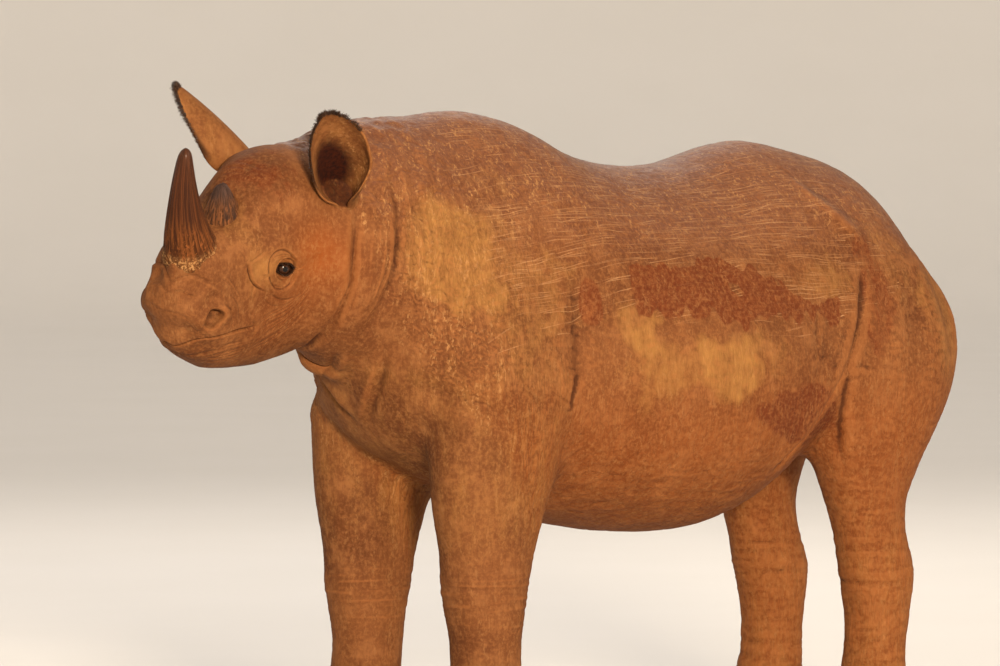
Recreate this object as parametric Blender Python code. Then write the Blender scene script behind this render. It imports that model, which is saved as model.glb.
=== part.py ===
"""Standing black rhinoceros, life size, as a still model.

The animal faces -Y, its left side is +X and up is +Z.  The finished model
stands on Z = 0 with its origin below the middle of its box.  The body is
lofted whole, rounded over, and then parted with thin cuts into head, neck,
trunk, tail and legs.  Horns, eyes, ears, tail tuft and toenails are pieces of
their own.
"""

import math

import bmesh
import bpy
import numpy as np
from mathutils import Matrix, Vector

# ---------------------------------------------------------------- driving sizes (metres)
GAP = 0.0003
# Points are moved out by more than the gap, so that the flats between them keep it.
CORNER_GAP = 1.6 * GAP
SLIVER = 0.00002
FLAT_ANGLE = math.radians(0.1)
SHARP_ANGLE = math.radians(40)

BODY_VOXEL = 0.016
BODY_ROUNDING = 6
BODY_TRIANGLES = 2900
RING_POINTS = 32
TRUNK_RINGS = 44
NECK_RINGS = 16
HEAD_RINGS = 34
LEG_RINGS = 30

HEAD_SEAT = Vector((0.03, -0.644, 1.364))
HEAD_TURN = math.radians(10.0)
HEAD_PITCH = math.radians(28.0)
HEAD_ROLL = math.radians(18.0)

FRONT_HORN_SEAT = (0.382, 0.0, 0.030)
FRONT_HORN_LENGTH = 0.266
FRONT_HORN_HALF_LENGTH = 0.070
FRONT_HORN_HALF_WIDTH = 0.061
REAR_HORN_SEAT = (0.252, 0.0, 0.036)
REAR_HORN_LENGTH = 0.088
REAR_HORN_HALF_LENGTH = 0.056
REAR_HORN_HALF_WIDTH = 0.050
HORN_LEAN = 0.012
HORN_ROOT = 0.03
HORN_RINGS = 9
HORN_POINTS = 14
HORN_ROUNDNESS = 2.2

EYE_RADIUS = 0.0205
EYE_SEAT = (0.199, 0.117, -0.086)
EYE_OPENING = (0.019, 0.045, 0.013)
EYE_OPENING_OUT = 0.022
BROW_SEAT = (0.185, 0.112, -0.055)
BROW_SIZE = (0.055, 0.030, 0.045)

EAR_LENGTH = 0.250
EAR_THICKNESS = 0.007
EAR_ROOT = 0.045
EAR_CURL = 0.035
EAR_ROWS = 9
EAR_COLUMNS = 10

TAIL_ROOT = Vector((0.0, 1.135, 1.215))
TAIL_LENGTH = 0.56
TAIL_OUT = 0.105
TAIL_BEND = 5.0
TAIL_ROOT_SLOPE = 0.55
TAIL_THICK = 0.042
TAIL_TAPER = 0.035
TAIL_THINNEST = 0.014
TAIL_FLAT = 0.9
TAIL_RINGS = 9
TAIL_POINTS = 10
TUFT_START = 0.80
TUFT_STEP = 0.05
# Tail tuft stations: half width, half length.
TUFT = ((0.014, 0.016), (0.014, 0.026), (0.013, 0.032), (0.011, 0.028), (0.006, 0.012))

NAIL_SIZE = (0.037, 0.016, 0.036)
NAIL_ANGLES = {"inner": -52.0, "middle": 0.0, "outer": 52.0}
NAIL_SLOPE = math.radians(-16)
NAIL_SUNK = 0.006
NAIL_CLEARANCE = 0.004

SOLE_LEVEL = 0.0
FOOT_CUT = 0.125
KNEE_CUT = 0.420
HEAD_CUT = -0.078
HEAD_CUT_LOW = -0.395
NECK_CUT = (0.0, -0.330, 1.200)
NECK_CUT_LEAN = math.radians(-20.0)
NECK_CUT_LOW = -0.34
LEG_INNER_CUT = 0.070
# Way that a leg's cut reaches along Y, and how high it reaches.
FORELEG_CUT = (-0.47, 0.030, 0.740)
HINDLEG_CUT = (0.765, 1.40, 0.780)
CLEAR = 3.0

# Trunk stations: place along Y, top, bottom, half width, level of the widest point.
TRUNK = (
    (-0.465, 1.330, 0.900, 0.120, 1.080),
    (-0.410, 1.425, 0.790, 0.215, 1.050),
    (-0.290, 1.490, 0.700, 0.272, 1.020),
    (-0.130, 1.512, 0.635, 0.302, 0.980),
    (0.010, 1.482, 0.580, 0.332, 0.950),
    (0.180, 1.405, 0.540, 0.372, 0.930),
    (0.350, 1.375, 0.520, 0.394, 0.910),
    (0.520, 1.388, 0.528, 0.390, 0.910),
    (0.640, 1.420, 0.570, 0.366, 0.930),
    (0.730, 1.432, 0.630, 0.342, 0.960),
    (0.850, 1.408, 0.700, 0.320, 1.000),
    (0.960, 1.384, 0.740, 0.300, 1.030),
    (1.060, 1.335, 0.780, 0.264, 1.040),
    (1.140, 1.250, 0.830, 0.205, 1.040),
    (1.195, 1.150, 0.900, 0.110, 1.040),
)

# Neck stations: place along Y, sideways place, top, bottom, half width.
NECK = (
    (-0.180, 0.000, 1.485, 0.800, 0.250),
    (-0.320, 0.000, 1.502, 0.840, 0.240),
    (-0.440, 0.005, 1.494, 0.890, 0.218),
    (-0.540, 0.012, 1.468, 0.935, 0.190),
    (-0.620, 0.020, 1.432, 0.980, 0.160),
    (-0.690, 0.028, 1.385, 1.070, 0.120),
)

# Head stations: place along the head, top, bottom, half width, level of the widest point.
HEAD = (
    (-0.110, 0.020, -0.200, 0.105, -0.090),
    (-0.050, 0.058, -0.305, 0.146, -0.130),
    (0.010, 0.088, -0.356, 0.163, -0.145),
    (0.080, 0.100, -0.384, 0.166, -0.150),
    (0.150, 0.094, -0.388, 0.156, -0.145),
    (0.215, 0.072, -0.374, 0.138, -0.140),
    (0.280, 0.054, -0.350, 0.118, -0.140),
    (0.340, 0.048, -0.318, 0.106, -0.130),
    (0.395, 0.046, -0.280, 0.100, -0.115),
    (0.435, 0.018, -0.236, 0.093, -0.105),
    (0.468, -0.022, -0.190, 0.080, -0.098),
    (0.490, -0.056, -0.150, 0.052, -0.105),
)

# Leg stations: level, sideways place, place along Y, half width, half length.
FORELEG = (
    (1.360, 0.095, -0.170, 0.060, 0.100),
    (1.220, 0.150, -0.172, 0.095, 0.160),
    (1.080, 0.182, -0.172, 0.120, 0.192),
    (0.950, 0.198, -0.165, 0.125, 0.202),
    (0.840, 0.205, -0.165, 0.122, 0.192),
    (0.720, 0.203, -0.185, 0.112, 0.170),
    (0.600, 0.198, -0.198, 0.100, 0.143),
    (0.500, 0.193, -0.202, 0.091, 0.115),
    (0.410, 0.190, -0.206, 0.090, 0.103),
    (0.310, 0.188, -0.200, 0.079, 0.084),
    (0.200, 0.188, -0.200, 0.080, 0.084),
    (0.120, 0.188, -0.206, 0.095, 0.100),
    (0.060, 0.190, -0.214, 0.112, 0.122),
    (-0.030, 0.190, -0.214, 0.108, 0.118),
)
HINDLEG = (
    (1.300, 0.085, 0.900, 0.060, 0.110),
    (1.190, 0.140, 0.925, 0.110, 0.180),
    (1.070, 0.178, 0.955, 0.132, 0.232),
    (0.960, 0.200, 0.980, 0.135, 0.238),
    (0.860, 0.208, 0.984, 0.128, 0.216),
    (0.750, 0.206, 0.967, 0.115, 0.182),
    (0.650, 0.200, 0.955, 0.096, 0.136),
    (0.560, 0.197, 0.960, 0.080, 0.098),
    (0.490, 0.195, 0.975, 0.077, 0.090),
    (0.420, 0.194, 0.995, 0.082, 0.099),
    (0.360, 0.193, 1.000, 0.079, 0.088),
    (0.270, 0.191, 0.998, 0.071, 0.076),
    (0.180, 0.191, 0.990, 0.073, 0.078),
    (0.110, 0.191, 0.975, 0.086, 0.095),
    (0.055, 0.193, 0.958, 0.103, 0.114),
    (-0.030, 0.193, 0.956, 0.100, 0.111),
)
# Each leg: side (+1 is the left), stations, how far the foot is moved along Y, its cut.
LEGS = {
    "foreleg_left": (1, FORELEG, 0.000, FORELEG_CUT),
    "foreleg_right": (-1, FORELEG, -0.060, FORELEG_CUT),
    "hindleg_left": (1, HINDLEG, 0.000, HINDLEG_CUT),
    "hindleg_right": (-1, HINDLEG, 0.020, HINDLEG_CUT),
}
STRIDE_START = 0.90

# Muscle and bone under the skin, made on both sides: centre, half sizes.
MASSES = (
    ((0.262, -0.055, 0.880), (0.066, 0.085, 0.110)),
    ((0.130, 0.815, 1.200), (0.135, 0.170, 0.120)),
    ((0.130, 1.085, 0.960), (0.105, 0.105, 0.190)),
)

# Horn profiles: share of the height, share of the base size.
FRONT_HORN_PROFILE = (
    (0.00, 1.00), (0.10, 0.90), (0.22, 0.74), (0.36, 0.60), (0.52, 0.47),
    (0.70, 0.37), (0.86, 0.28), (0.95, 0.18), (1.00, 0.05),
)
REAR_HORN_PROFILE = (
    (0.00, 1.00), (0.25, 0.88), (0.50, 0.66), (0.75, 0.42), (0.92, 0.24), (1.00, 0.07),
)

# Ear leaf: share of the length, half width laid flat, half angle it is rolled through.
EAR_SHAPE = (
    (0.00, 0.086, 3.00), (0.15, 0.098, 2.80), (0.26, 0.114, 2.30), (0.40, 0.123, 1.85),
    (0.60, 0.108, 1.50), (0.78, 0.085, 1.25), (0.91, 0.054, 1.05), (1.00, 0.018, 0.90),
)
# Ears in the head's own axes: seat, way to the tip, way that it opens.
EARS = {
    "ear_left": ((-0.030, 0.118, 0.000), (0.13, 0.00, 0.99), (0.74, 0.67, -0.08)),
    "ear_right": ((-0.014, -0.108, 0.012), (0.10, -0.62, 0.78), (0.58, -0.72, -0.45)),
}

# Finishes: base colour, roughness, metallic.
FINISHES = {
    "skin": ((0.30, 0.16, 0.085), 0.85, 0.0),
    "horn": ((0.060, 0.038, 0.028), 0.45, 0.0),
    "eye": ((0.012, 0.007, 0.005), 0.08, 0.0),
    "toenail": ((0.12, 0.085, 0.060), 0.55, 0.0),
    "hair": ((0.020, 0.014, 0.011), 0.70, 0.0),
}
SIDEWAYS = Vector((1, 0, 0))


# ---------------------------------------------------------------- helpers
def clear_scene():
    for obj in list(bpy.data.objects):
        bpy.data.objects.remove(obj, do_unlink=True)


def material(name):
    colour, roughness, metallic = FINISHES[name]
    made = bpy.data.materials.new(name)
    made.use_nodes = True
    shader = made.node_tree.nodes["Principled BSDF"]
    shader.inputs["Base Color"].default_value = (*colour, 1.0)
    shader.inputs["Roughness"].default_value = roughness
    shader.inputs["Metallic"].default_value = metallic
    made.diffuse_color = (*colour, 1.0)
    return made


def new_object(name, bm, finish=None):
    bmesh.ops.recalc_face_normals(bm, faces=bm.faces)
    mesh = bpy.data.meshes.new(name)
    bm.to_mesh(mesh)
    bm.free()
    obj = bpy.data.objects.new(name, mesh)
    bpy.context.scene.collection.objects.link(obj)
    if finish:
        mesh.materials.append(finish)
    return obj


def fit_rows(rows, count):
    """Smooth curve through the rows of a table, read at even steps of its first column."""
    table = np.array(rows, float)
    key = table[:, 0]
    if key[0] > key[-1]:
        return fit_rows(table[::-1], count)[::-1]
    slope = np.gradient(table, key, axis=0)
    out = []
    for place in np.linspace(key[0], key[-1], count):
        i = min(np.searchsorted(key, place, side="right") - 1, len(key) - 2)
        span = key[i + 1] - key[i]
        t = (place - key[i]) / span
        out.append(
            (2 * t**3 - 3 * t**2 + 1) * table[i]
            + (t**3 - 2 * t**2 + t) * span * slope[i]
            + (3 * t**2 - 2 * t**3) * table[i + 1]
            + (t**3 - t**2) * span * slope[i + 1]
        )
    return np.array(out)


def power(value, exponent):
    return math.copysign(abs(value) ** exponent, value)


def oval(centre, side, up, half_sizes, roundness=(2.0, 2.0), points=RING_POINTS):
    """One closed ring, of half sizes sideways, up and down.

    A roundness of 2, above or below, is an ellipse and more is fuller.
    """
    half_side, half_up, half_down = half_sizes
    ring = []
    for i in range(points):
        turn = 2 * math.pi * i / points
        c, s = math.cos(turn), math.sin(turn)
        full = roundness[0] if s > 0 else roundness[1]
        across = half_side * power(c, 2 / full)
        along = (half_up if s > 0 else half_down) * power(s, 2 / full)
        ring.append(centre + side * across + up * along)
    return ring


def loft(rings, bm=None):
    """Closed body through a list of rings, all with the same number of points."""
    bm = bm or bmesh.new()
    made = [[bm.verts.new(point) for point in ring] for ring in rings]
    for low, high in zip(made, made[1:]):
        for i in range(len(low)):
            j = (i + 1) % len(low)
            bm.faces.new((low[i], low[j], high[j], high[i]))
    for ring in (made[0], made[-1]):
        centre = bm.verts.new(sum((v.co for v in ring), Vector()) / len(ring))
        for i in range(len(ring)):
            bm.faces.new((ring[i], ring[(i + 1) % len(ring)], centre))
    return bm


def evaluated_mesh(obj):
    graph = bpy.context.evaluated_depsgraph_get()
    return bpy.data.meshes.new_from_object(obj.evaluated_get(graph))


def apply_modifiers(obj):
    mesh = evaluated_mesh(obj)
    obj.modifiers.clear()
    obj.data = mesh
    return obj


def ellipsoid(centre, half_sizes, bm=None, segments=20):
    bm = bm or bmesh.new()
    made = bmesh.ops.create_uvsphere(bm, u_segments=segments, v_segments=segments // 2, radius=1.0)
    bmesh.ops.scale(bm, vec=half_sizes, verts=made["verts"])
    bmesh.ops.translate(bm, vec=centre, verts=made["verts"])
    return bm


def head_axes():
    """Forward, left and up of the head, turned, tipped down and rolled."""
    forward = Vector((
        math.cos(HEAD_PITCH) * math.sin(HEAD_TURN),
        -math.cos(HEAD_PITCH) * math.cos(HEAD_TURN),
        -math.sin(HEAD_PITCH),
    ))
    level_left = Vector((math.cos(HEAD_TURN), math.sin(HEAD_TURN), 0.0))
    level_up = forward.cross(level_left)
    left = level_left * math.cos(HEAD_ROLL) - level_up * math.sin(HEAD_ROLL)
    return forward, left, forward.cross(left)


FORWARD, LEFT, UP = head_axes()


def on_head(along, across, height):
    return HEAD_SEAT + FORWARD * along + LEFT * across + UP * height


def head_matrix():
    turn = Matrix((FORWARD, LEFT, UP)).transposed().to_4x4()
    return Matrix.Translation(HEAD_SEAT) @ turn


# ---------------------------------------------------------------- body
def trunk_rings():
    """Rings across the trunk, a little peaked along the back."""
    up = Vector((0, 0, 1))
    rings = []
    for place, top, bottom, half, level in fit_rows(TRUNK, TRUNK_RINGS):
        sizes = (half, top - level, level - bottom)
        rings.append(oval(Vector((0, place, level)), SIDEWAYS, up, sizes, (1.75, 2.15)))
    return rings


def neck_rings():
    """Rings across the neck, which lean as it reaches forward."""
    rings = []
    for place, across, top, bottom, half in fit_rows(NECK, NECK_RINGS):
        level = bottom + 0.48 * (top - bottom)
        up = Vector((0, 0.25 * (place - NECK[0][0]), 1)).normalized()
        sizes = (half, top - level, level - bottom)
        rings.append(oval(Vector((across, place, level)), SIDEWAYS, up, sizes, (1.8, 1.9)))
    return rings


def head_rings():
    """Rings across the head, with a flatter top towards the nose."""
    rings = []
    for along, top, bottom, half, level in fit_rows(HEAD, HEAD_RINGS):
        sizes = (half, top - level, level - bottom)
        roundness = (2.1 + max(0.0, along), 2.2)
        rings.append(oval(on_head(along, 0, level), LEFT, UP, sizes, roundness))
    return rings


def leg_rings(side, stations, stride):
    """Level rings down a leg, moved along Y by the stride towards the foot."""
    ahead = Vector((0, -1, 0))
    rings = []
    for level, across, place, half_width, half_length in fit_rows(stations, LEG_RINGS):
        centre = Vector((side * across, place + moved_at(level, stride), level))
        sizes = (half_width, half_length, half_length)
        rings.append(oval(centre, SIDEWAYS, ahead, sizes, (2.2, 2.2)))
    return rings


def moved_at(level, stride):
    return stride * max(0.0, 1 - level / STRIDE_START)


def whole_body(skin):
    """Trunk, neck, head and legs as one rounded skin."""
    bm = bmesh.new()
    for rings in (trunk_rings(), neck_rings(), head_rings()):
        loft(rings, bm)
    for side, stations, stride, _ in LEGS.values():
        loft(leg_rings(side, stations, stride), bm)
    for (x, y, z), half_sizes in MASSES:
        ellipsoid((x, y, z), half_sizes, bm)
        ellipsoid((-x, y, z), half_sizes, bm)
    for side in (-1, 1):
        along, across, height = BROW_SEAT
        brow = ellipsoid((along, side * across, height), BROW_SIZE)
        brow.transform(head_matrix())
        spare = bpy.data.meshes.new("brow")
        brow.to_mesh(spare)
        bm.from_mesh(spare)
        brow.free()
    body = new_object("body", bm, skin)
    remesh = body.modifiers.new("fuse", "REMESH")
    remesh.mode = "VOXEL"
    remesh.voxel_size = BODY_VOXEL
    rounding = body.modifiers.new("round", "SMOOTH")
    rounding.factor = 0.5
    rounding.iterations = BODY_ROUNDING
    return thin_out(apply_modifiers(body))


def thin_out(body):
    fewer = body.modifiers.new("fewer", "DECIMATE")
    fewer.ratio = BODY_TRIANGLES / (2 * len(body.data.polygons))
    fewer.use_collapse_triangulate = True
    return apply_modifiers(body)


# ---------------------------------------------------------------- parting the body
def box(name, low, high, turn=None):
    bm = bmesh.new()
    bmesh.ops.create_cube(bm, size=1.0)
    low, high = Vector(low), Vector(high)
    bmesh.ops.scale(bm, vec=high - low, verts=bm.verts)
    bmesh.ops.translate(bm, vec=(low + high) / 2, verts=bm.verts)
    if turn:
        bm.transform(turn)
    return new_object(name, bm)


def boolean(obj, cutter, operation):
    cut = obj.modifiers.new(operation.lower(), "BOOLEAN")
    cut.operation = operation
    cut.solver = "EXACT"
    cut.object = cutter
    return apply_modifiers(obj)


def copy_of(obj, name):
    made = bpy.data.objects.new(name, obj.data.copy())
    bpy.context.scene.collection.objects.link(made)
    return made


def remove(*objects):
    for obj in objects:
        bpy.data.objects.remove(obj, do_unlink=True)


def split(body, name, low, high, turn=None):
    """Takes the piece inside a box away from the body, with the gap all round it."""
    half = Vector((GAP, GAP, GAP)) / 2
    inner = box("inner", Vector(low) + half, Vector(high) - half, turn)
    outer = box("outer", Vector(low) - half, Vector(high) + half, turn)
    piece = boolean(copy_of(body, name), inner, "INTERSECT")
    boolean(body, outer, "DIFFERENCE")
    remove(inner, outer)
    return piece


def grown(obj, amount):
    """A copy of a piece with its surface moved out, to cut the seat that it fits in."""
    bm = bmesh.new()
    bm.from_mesh(obj.data)
    bm.normal_update()
    for vert in bm.verts:
        vert.co += vert.normal * amount
    return new_object(obj.name + "_seat", bm)


def merge_flat(obj):
    """Joins the slivers that the cuts leave inside one flat facet."""
    bm = bmesh.new()
    bm.from_mesh(obj.data)
    bmesh.ops.remove_doubles(bm, verts=bm.verts, dist=SLIVER)
    bmesh.ops.dissolve_degenerate(bm, edges=bm.edges, dist=SLIVER)
    bmesh.ops.dissolve_limit(bm, angle_limit=FLAT_ANGLE, verts=bm.verts, edges=bm.edges)
    bmesh.ops.triangulate(bm, faces=bm.faces)
    bmesh.ops.dissolve_degenerate(bm, edges=bm.edges, dist=SLIVER)
    bm.to_mesh(obj.data)
    bm.free()


def seat(obj, piece):
    """Cuts the place of a piece out of its neighbour, leaving the gap."""
    cutter = grown(piece, CORNER_GAP)
    boolean(obj, cutter, "DIFFERENCE")
    remove(cutter)


# ---------------------------------------------------------------- horns, eyes, ears
def horn(name, seat_at, length, half_length, half_width, profile, finish):
    """Tapering horn that leans back a little towards its tip."""
    along, across, height = seat_at
    rings = []
    for share, size in fit_rows(profile, HORN_RINGS):
        back = HORN_LEAN * share**1.6
        rise = share * length - HORN_ROOT * (1 - share)
        rising = (UP * length - FORWARD * HORN_LEAN * 1.6 * share**0.6).normalized()
        sizes = (half_width * size, half_length * size, half_length * size)
        roundness = (HORN_ROUNDNESS, HORN_ROUNDNESS)
        centre = on_head(along - back, across, height + rise)
        rings.append(oval(centre, LEFT, rising.cross(LEFT), sizes, roundness, HORN_POINTS))
    return new_object(name, loft(rings), finish)


def ear(name, seat_at, tipward, opening, finish):
    """Rolled leaf with a tube at its root, as a closed shell."""
    tipward = Vector(tipward).normalized()
    opening = Vector(opening)
    opening = (opening - tipward * opening.dot(tipward)).normalized()
    across = tipward.cross(opening)
    bm = bmesh.new()
    grid = []
    for share, half, angle in fit_rows(EAR_SHAPE, EAR_ROWS):
        radius = half / angle
        root = Vector(seat_at) + tipward * (share * (EAR_LENGTH + EAR_ROOT) - EAR_ROOT)
        root += opening * (EAR_CURL * share * share)
        row = []
        for i in range(EAR_COLUMNS):
            turn = angle * (2 * i / (EAR_COLUMNS - 1) - 1)
            place = root + opening * radius * (1 - math.cos(turn)) + across * radius * math.sin(turn)
            row.append(bm.verts.new(on_head(*place)))
        grid.append(row)
    for low, high in zip(grid, grid[1:]):
        for i in range(EAR_COLUMNS - 1):
            bm.faces.new((low[i], low[i + 1], high[i + 1], high[i]))
    made = new_object(name, bm, finish)
    wall = made.modifiers.new("wall", "SOLIDIFY")
    wall.thickness = EAR_THICKNESS
    wall.offset = 0.0
    return apply_modifiers(made)


def eye(name, side, finish):
    bm = bmesh.new()
    bmesh.ops.create_uvsphere(bm, u_segments=12, v_segments=6, radius=EYE_RADIUS)
    along, across, height = EYE_SEAT
    bmesh.ops.translate(bm, vec=on_head(along, side * across, height), verts=bm.verts)
    return new_object(name, bm, finish)


def eye_opening(side):
    """Almond-shaped way in through the lids."""
    along, across, height = EYE_SEAT
    slot = ellipsoid((along, side * (across + EYE_OPENING_OUT), height), EYE_OPENING, segments=12)
    slot.transform(head_matrix())
    return new_object("opening", slot)


# ---------------------------------------------------------------- feet and tail
def toenail(name, centre, half_width, half_length, angle, finish):
    """Broad blunt nail on the rim of a foot, standing a little proud of it."""
    turn = math.radians(angle)
    ahead = Vector((math.sin(turn), -math.cos(turn), 0))
    rim = centre + Vector((ahead.x * half_width, ahead.y * half_length, 0))
    place = rim + Vector((0, 0, NAIL_SIZE[2])) - ahead * NAIL_SUNK
    bm = ellipsoid((0, 0, 0), NAIL_SIZE, segments=8)
    bm.transform(Matrix.Rotation(turn, 4, "Z") @ Matrix.Rotation(NAIL_SLOPE, 4, "X"))
    bm.transform(Matrix.Translation(place))
    cut = bmesh.ops.bisect_plane(
        bm, geom=bm.verts[:] + bm.edges[:] + bm.faces[:], plane_co=(0, 0, NAIL_CLEARANCE),
        plane_no=(0, 0, -1), clear_outer=True,
    )
    edges = [item for item in cut["geom_cut"] if isinstance(item, bmesh.types.BMEdge)]
    bmesh.ops.edgeloop_fill(bm, edges=edges)
    return new_object(name, bm, finish)


def tail_place(share):
    """Point of the hanging tail at a share of its length."""
    out = TAIL_OUT * (1 - math.exp(-share * TAIL_BEND))
    return TAIL_ROOT + Vector((0, out, -share * TAIL_LENGTH))


def tail(name, finish):
    """Round tail that leaves the rump at a slope and then hangs."""
    rings = []
    for i in range(TAIL_RINGS):
        share = TUFT_START * i / (TAIL_RINGS - 1)
        lean = Vector((0, TAIL_ROOT_SLOPE * math.exp(-share * TAIL_BEND), -1)).normalized()
        thick = max(TAIL_THINNEST, TAIL_THICK - TAIL_TAPER * share)
        sizes = (thick, thick * TAIL_FLAT, thick * TAIL_FLAT)
        rings.append(oval(tail_place(share), SIDEWAYS, SIDEWAYS.cross(lean), sizes, points=TAIL_POINTS))
    return new_object(name, loft(rings), finish)


def tail_tuft(name, finish):
    """Flat brush of stiff hair on both edges of the tail's end."""
    back = Vector((0, 1, 0))
    rings = []
    for i, (thick, wide) in enumerate(TUFT):
        centre = tail_place(TUFT_START + GAP / TAIL_LENGTH + TUFT_STEP * i)
        rings.append(oval(centre, SIDEWAYS, back, (thick, wide, wide), points=TAIL_POINTS))
    return new_object(name, loft(rings), finish)


# ---------------------------------------------------------------- build
def part_legs(body):
    """Takes each leg off the body as an upper leg, a lower leg and a foot."""
    feet = {}
    for name, (side, _, _, (front, back, top)) in LEGS.items():
        low_x, high_x = sorted((side * LEG_INNER_CUT, side * CLEAR))
        leg = split(body, name, (low_x, front, -CLEAR), (high_x, back, top))
        feet[name] = split(leg, name + "_foot", (-CLEAR, -CLEAR, -CLEAR), (CLEAR, CLEAR, FOOT_CUT))
        split(leg, name + "_upper", (-CLEAR, -CLEAR, KNEE_CUT), (CLEAR, CLEAR, CLEAR))
        leg.name = name + "_lower"
    return feet


def add_toenails(feet, finish):
    for name, (side, stations, stride, _) in LEGS.items():
        level, across, place, half_width, half_length = stations[-2]
        centre = Vector((side * across, place + moved_at(level, stride), 0))
        for which, angle in NAIL_ANGLES.items():
            label = f"{name}_toenail_{which}"
            nail = toenail(label, centre, half_width, half_length, side * angle, finish)
            seat(feet[name], nail)


def middle_of(objects):
    """Middle of the box round these objects, whose points are all in one frame."""
    points = [vert.co for obj in objects for vert in obj.data.vertices]
    low = Vector([min(point[axis] for point in points) for axis in range(3)])
    high = Vector([max(point[axis] for point in points) for axis in range(3)])
    return (low + high) / 2


def place_pieces():
    """Puts the origin on the floor below the model, and each piece's own in its middle."""
    origin = middle_of(bpy.data.objects)
    origin.z = SOLE_LEVEL
    for obj in bpy.data.objects:
        centre = middle_of([obj])
        obj.data.transform(Matrix.Translation(-centre))
        obj.location = centre - origin


def build():
    clear_scene()
    skin, horn_finish, eye_finish, nail_finish, hair_finish = map(material, FINISHES)

    body = whole_body(skin)
    floor = box("floor", (-CLEAR, -CLEAR, -CLEAR), (CLEAR, CLEAR, SOLE_LEVEL))
    boolean(body, floor, "DIFFERENCE")
    remove(floor)

    head = split(body, "head", (HEAD_CUT, -CLEAR, HEAD_CUT_LOW), (CLEAR, CLEAR, CLEAR), head_matrix())
    neck_turn = Matrix.Translation(NECK_CUT) @ Matrix.Rotation(NECK_CUT_LEAN, 4, "X")
    split(body, "neck", (-CLEAR, -CLEAR, NECK_CUT_LOW), (CLEAR, 0.0, CLEAR), neck_turn)
    feet = part_legs(body)
    body.name = "trunk"
    add_toenails(feet, nail_finish)

    for name, (seat_at, tipward, opening) in EARS.items():
        seat(ear(name, seat_at, tipward, opening, skin), head)
    front_horn = horn(
        "horn_front", FRONT_HORN_SEAT, FRONT_HORN_LENGTH, FRONT_HORN_HALF_LENGTH,
        FRONT_HORN_HALF_WIDTH, FRONT_HORN_PROFILE, horn_finish,
    )
    rear_horn = horn(
        "horn_rear", REAR_HORN_SEAT, REAR_HORN_LENGTH, REAR_HORN_HALF_LENGTH,
        REAR_HORN_HALF_WIDTH, REAR_HORN_PROFILE, horn_finish,
    )
    seat(head, front_horn)
    seat(head, rear_horn)
    for side, name in ((1, "eye_left"), (-1, "eye_right")):
        ball = eye(name, side, eye_finish)
        opening = eye_opening(side)
        boolean(head, opening, "DIFFERENCE")
        remove(opening)
        seat(head, ball)

    seat(body, tail("tail", skin))
    tail_tuft("tail_tuft", hair_finish)

    place_pieces()
    for obj in bpy.data.objects:
        merge_flat(obj)
        obj.data.shade_smooth()
        obj.data.set_sharp_from_angle(angle=SHARP_ANGLE)


build()
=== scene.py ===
"""Looks of a standing black rhinoceros: one creased and dusty skin, horns, eyes, nails and hair."""

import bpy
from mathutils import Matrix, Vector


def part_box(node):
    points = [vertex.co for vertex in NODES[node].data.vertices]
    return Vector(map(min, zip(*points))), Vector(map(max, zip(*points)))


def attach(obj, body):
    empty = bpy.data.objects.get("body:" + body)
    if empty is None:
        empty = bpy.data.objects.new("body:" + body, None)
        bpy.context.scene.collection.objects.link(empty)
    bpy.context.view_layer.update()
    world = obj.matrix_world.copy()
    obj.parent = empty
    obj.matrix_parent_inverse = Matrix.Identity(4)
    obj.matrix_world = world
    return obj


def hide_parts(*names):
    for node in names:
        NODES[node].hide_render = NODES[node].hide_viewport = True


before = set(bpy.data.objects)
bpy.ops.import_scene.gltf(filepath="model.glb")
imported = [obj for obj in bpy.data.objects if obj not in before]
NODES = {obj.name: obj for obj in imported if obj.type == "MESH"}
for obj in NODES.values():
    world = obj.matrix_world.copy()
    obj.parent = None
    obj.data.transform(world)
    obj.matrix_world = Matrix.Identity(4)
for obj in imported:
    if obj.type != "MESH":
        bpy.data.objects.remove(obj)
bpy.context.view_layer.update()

import math

import bmesh
import bpy
import numpy as np
from mathutils import Matrix, Vector
from mathutils.bvhtree import BVHTree

ROOT = "root"
EAR_NODES = ("ear_left", "ear_right")
FLESH = [name for name in sorted(NODES) if name in ("trunk", "neck", "head", "tail")]
FLESH += [name for name in sorted(NODES) if name.endswith(("_upper", "_lower", "_foot"))]
FEET = [name for name in sorted(NODES) if name.endswith("_foot")]
NAILS = [name for name in sorted(NODES) if "toenail" in name]
SIDES = {"left": 1, "right": -1}

# ---- sizes (metres)
BODY_GRID = 0.0115
HEAD_TURN = math.radians(10.0)
HEAD_PITCH = math.radians(28.0)
HEAD_ROLL = math.radians(18.0)
TRUNK_SMOOTHING = 50
EYE_ALONG = 0.199
EYE_HEIGHT = -0.086

CELLS_TO_A_METRE = 20000
KEY_PRIME = 100003

EAR_LENGTH = 0.236
EAR_ROOT = 0.045
EAR_CURL = 0.035
# Rows up an ear: share of its length, half width of the leaf, and half angle of its roll.
EAR_SHAPE = (
    (0.00, 0.086, 3.00), (0.15, 0.098, 2.80), (0.26, 0.114, 2.30), (0.40, 0.123, 1.85),
    (0.60, 0.108, 1.50), (0.78, 0.085, 1.25), (0.91, 0.054, 1.05), (1.00, 0.018, 0.90),
)
# Each ear in the head's axes: its seat, the way to its tip, and the way that it opens.
EARS = {
    "left": ((-0.030, 0.118, 0.005), (0.13, 0.00, 0.99), (0.74, 0.67, -0.08)),
    "right": ((-0.014, -0.108, 0.012), (0.10, -0.62, 0.78), (0.78, -0.57, -0.28)),
}


# ---- meshes as arrays
def middle(name):
    low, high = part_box(name)
    return np.array((low + high) / 2)


def unit(vector):
    vector = np.asarray(vector, float)
    return vector / np.linalg.norm(vector)


def points_of(mesh):
    out = np.empty(len(mesh.vertices) * 3)
    mesh.vertices.foreach_get("co", out)
    return out.reshape(-1, 3)


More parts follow.
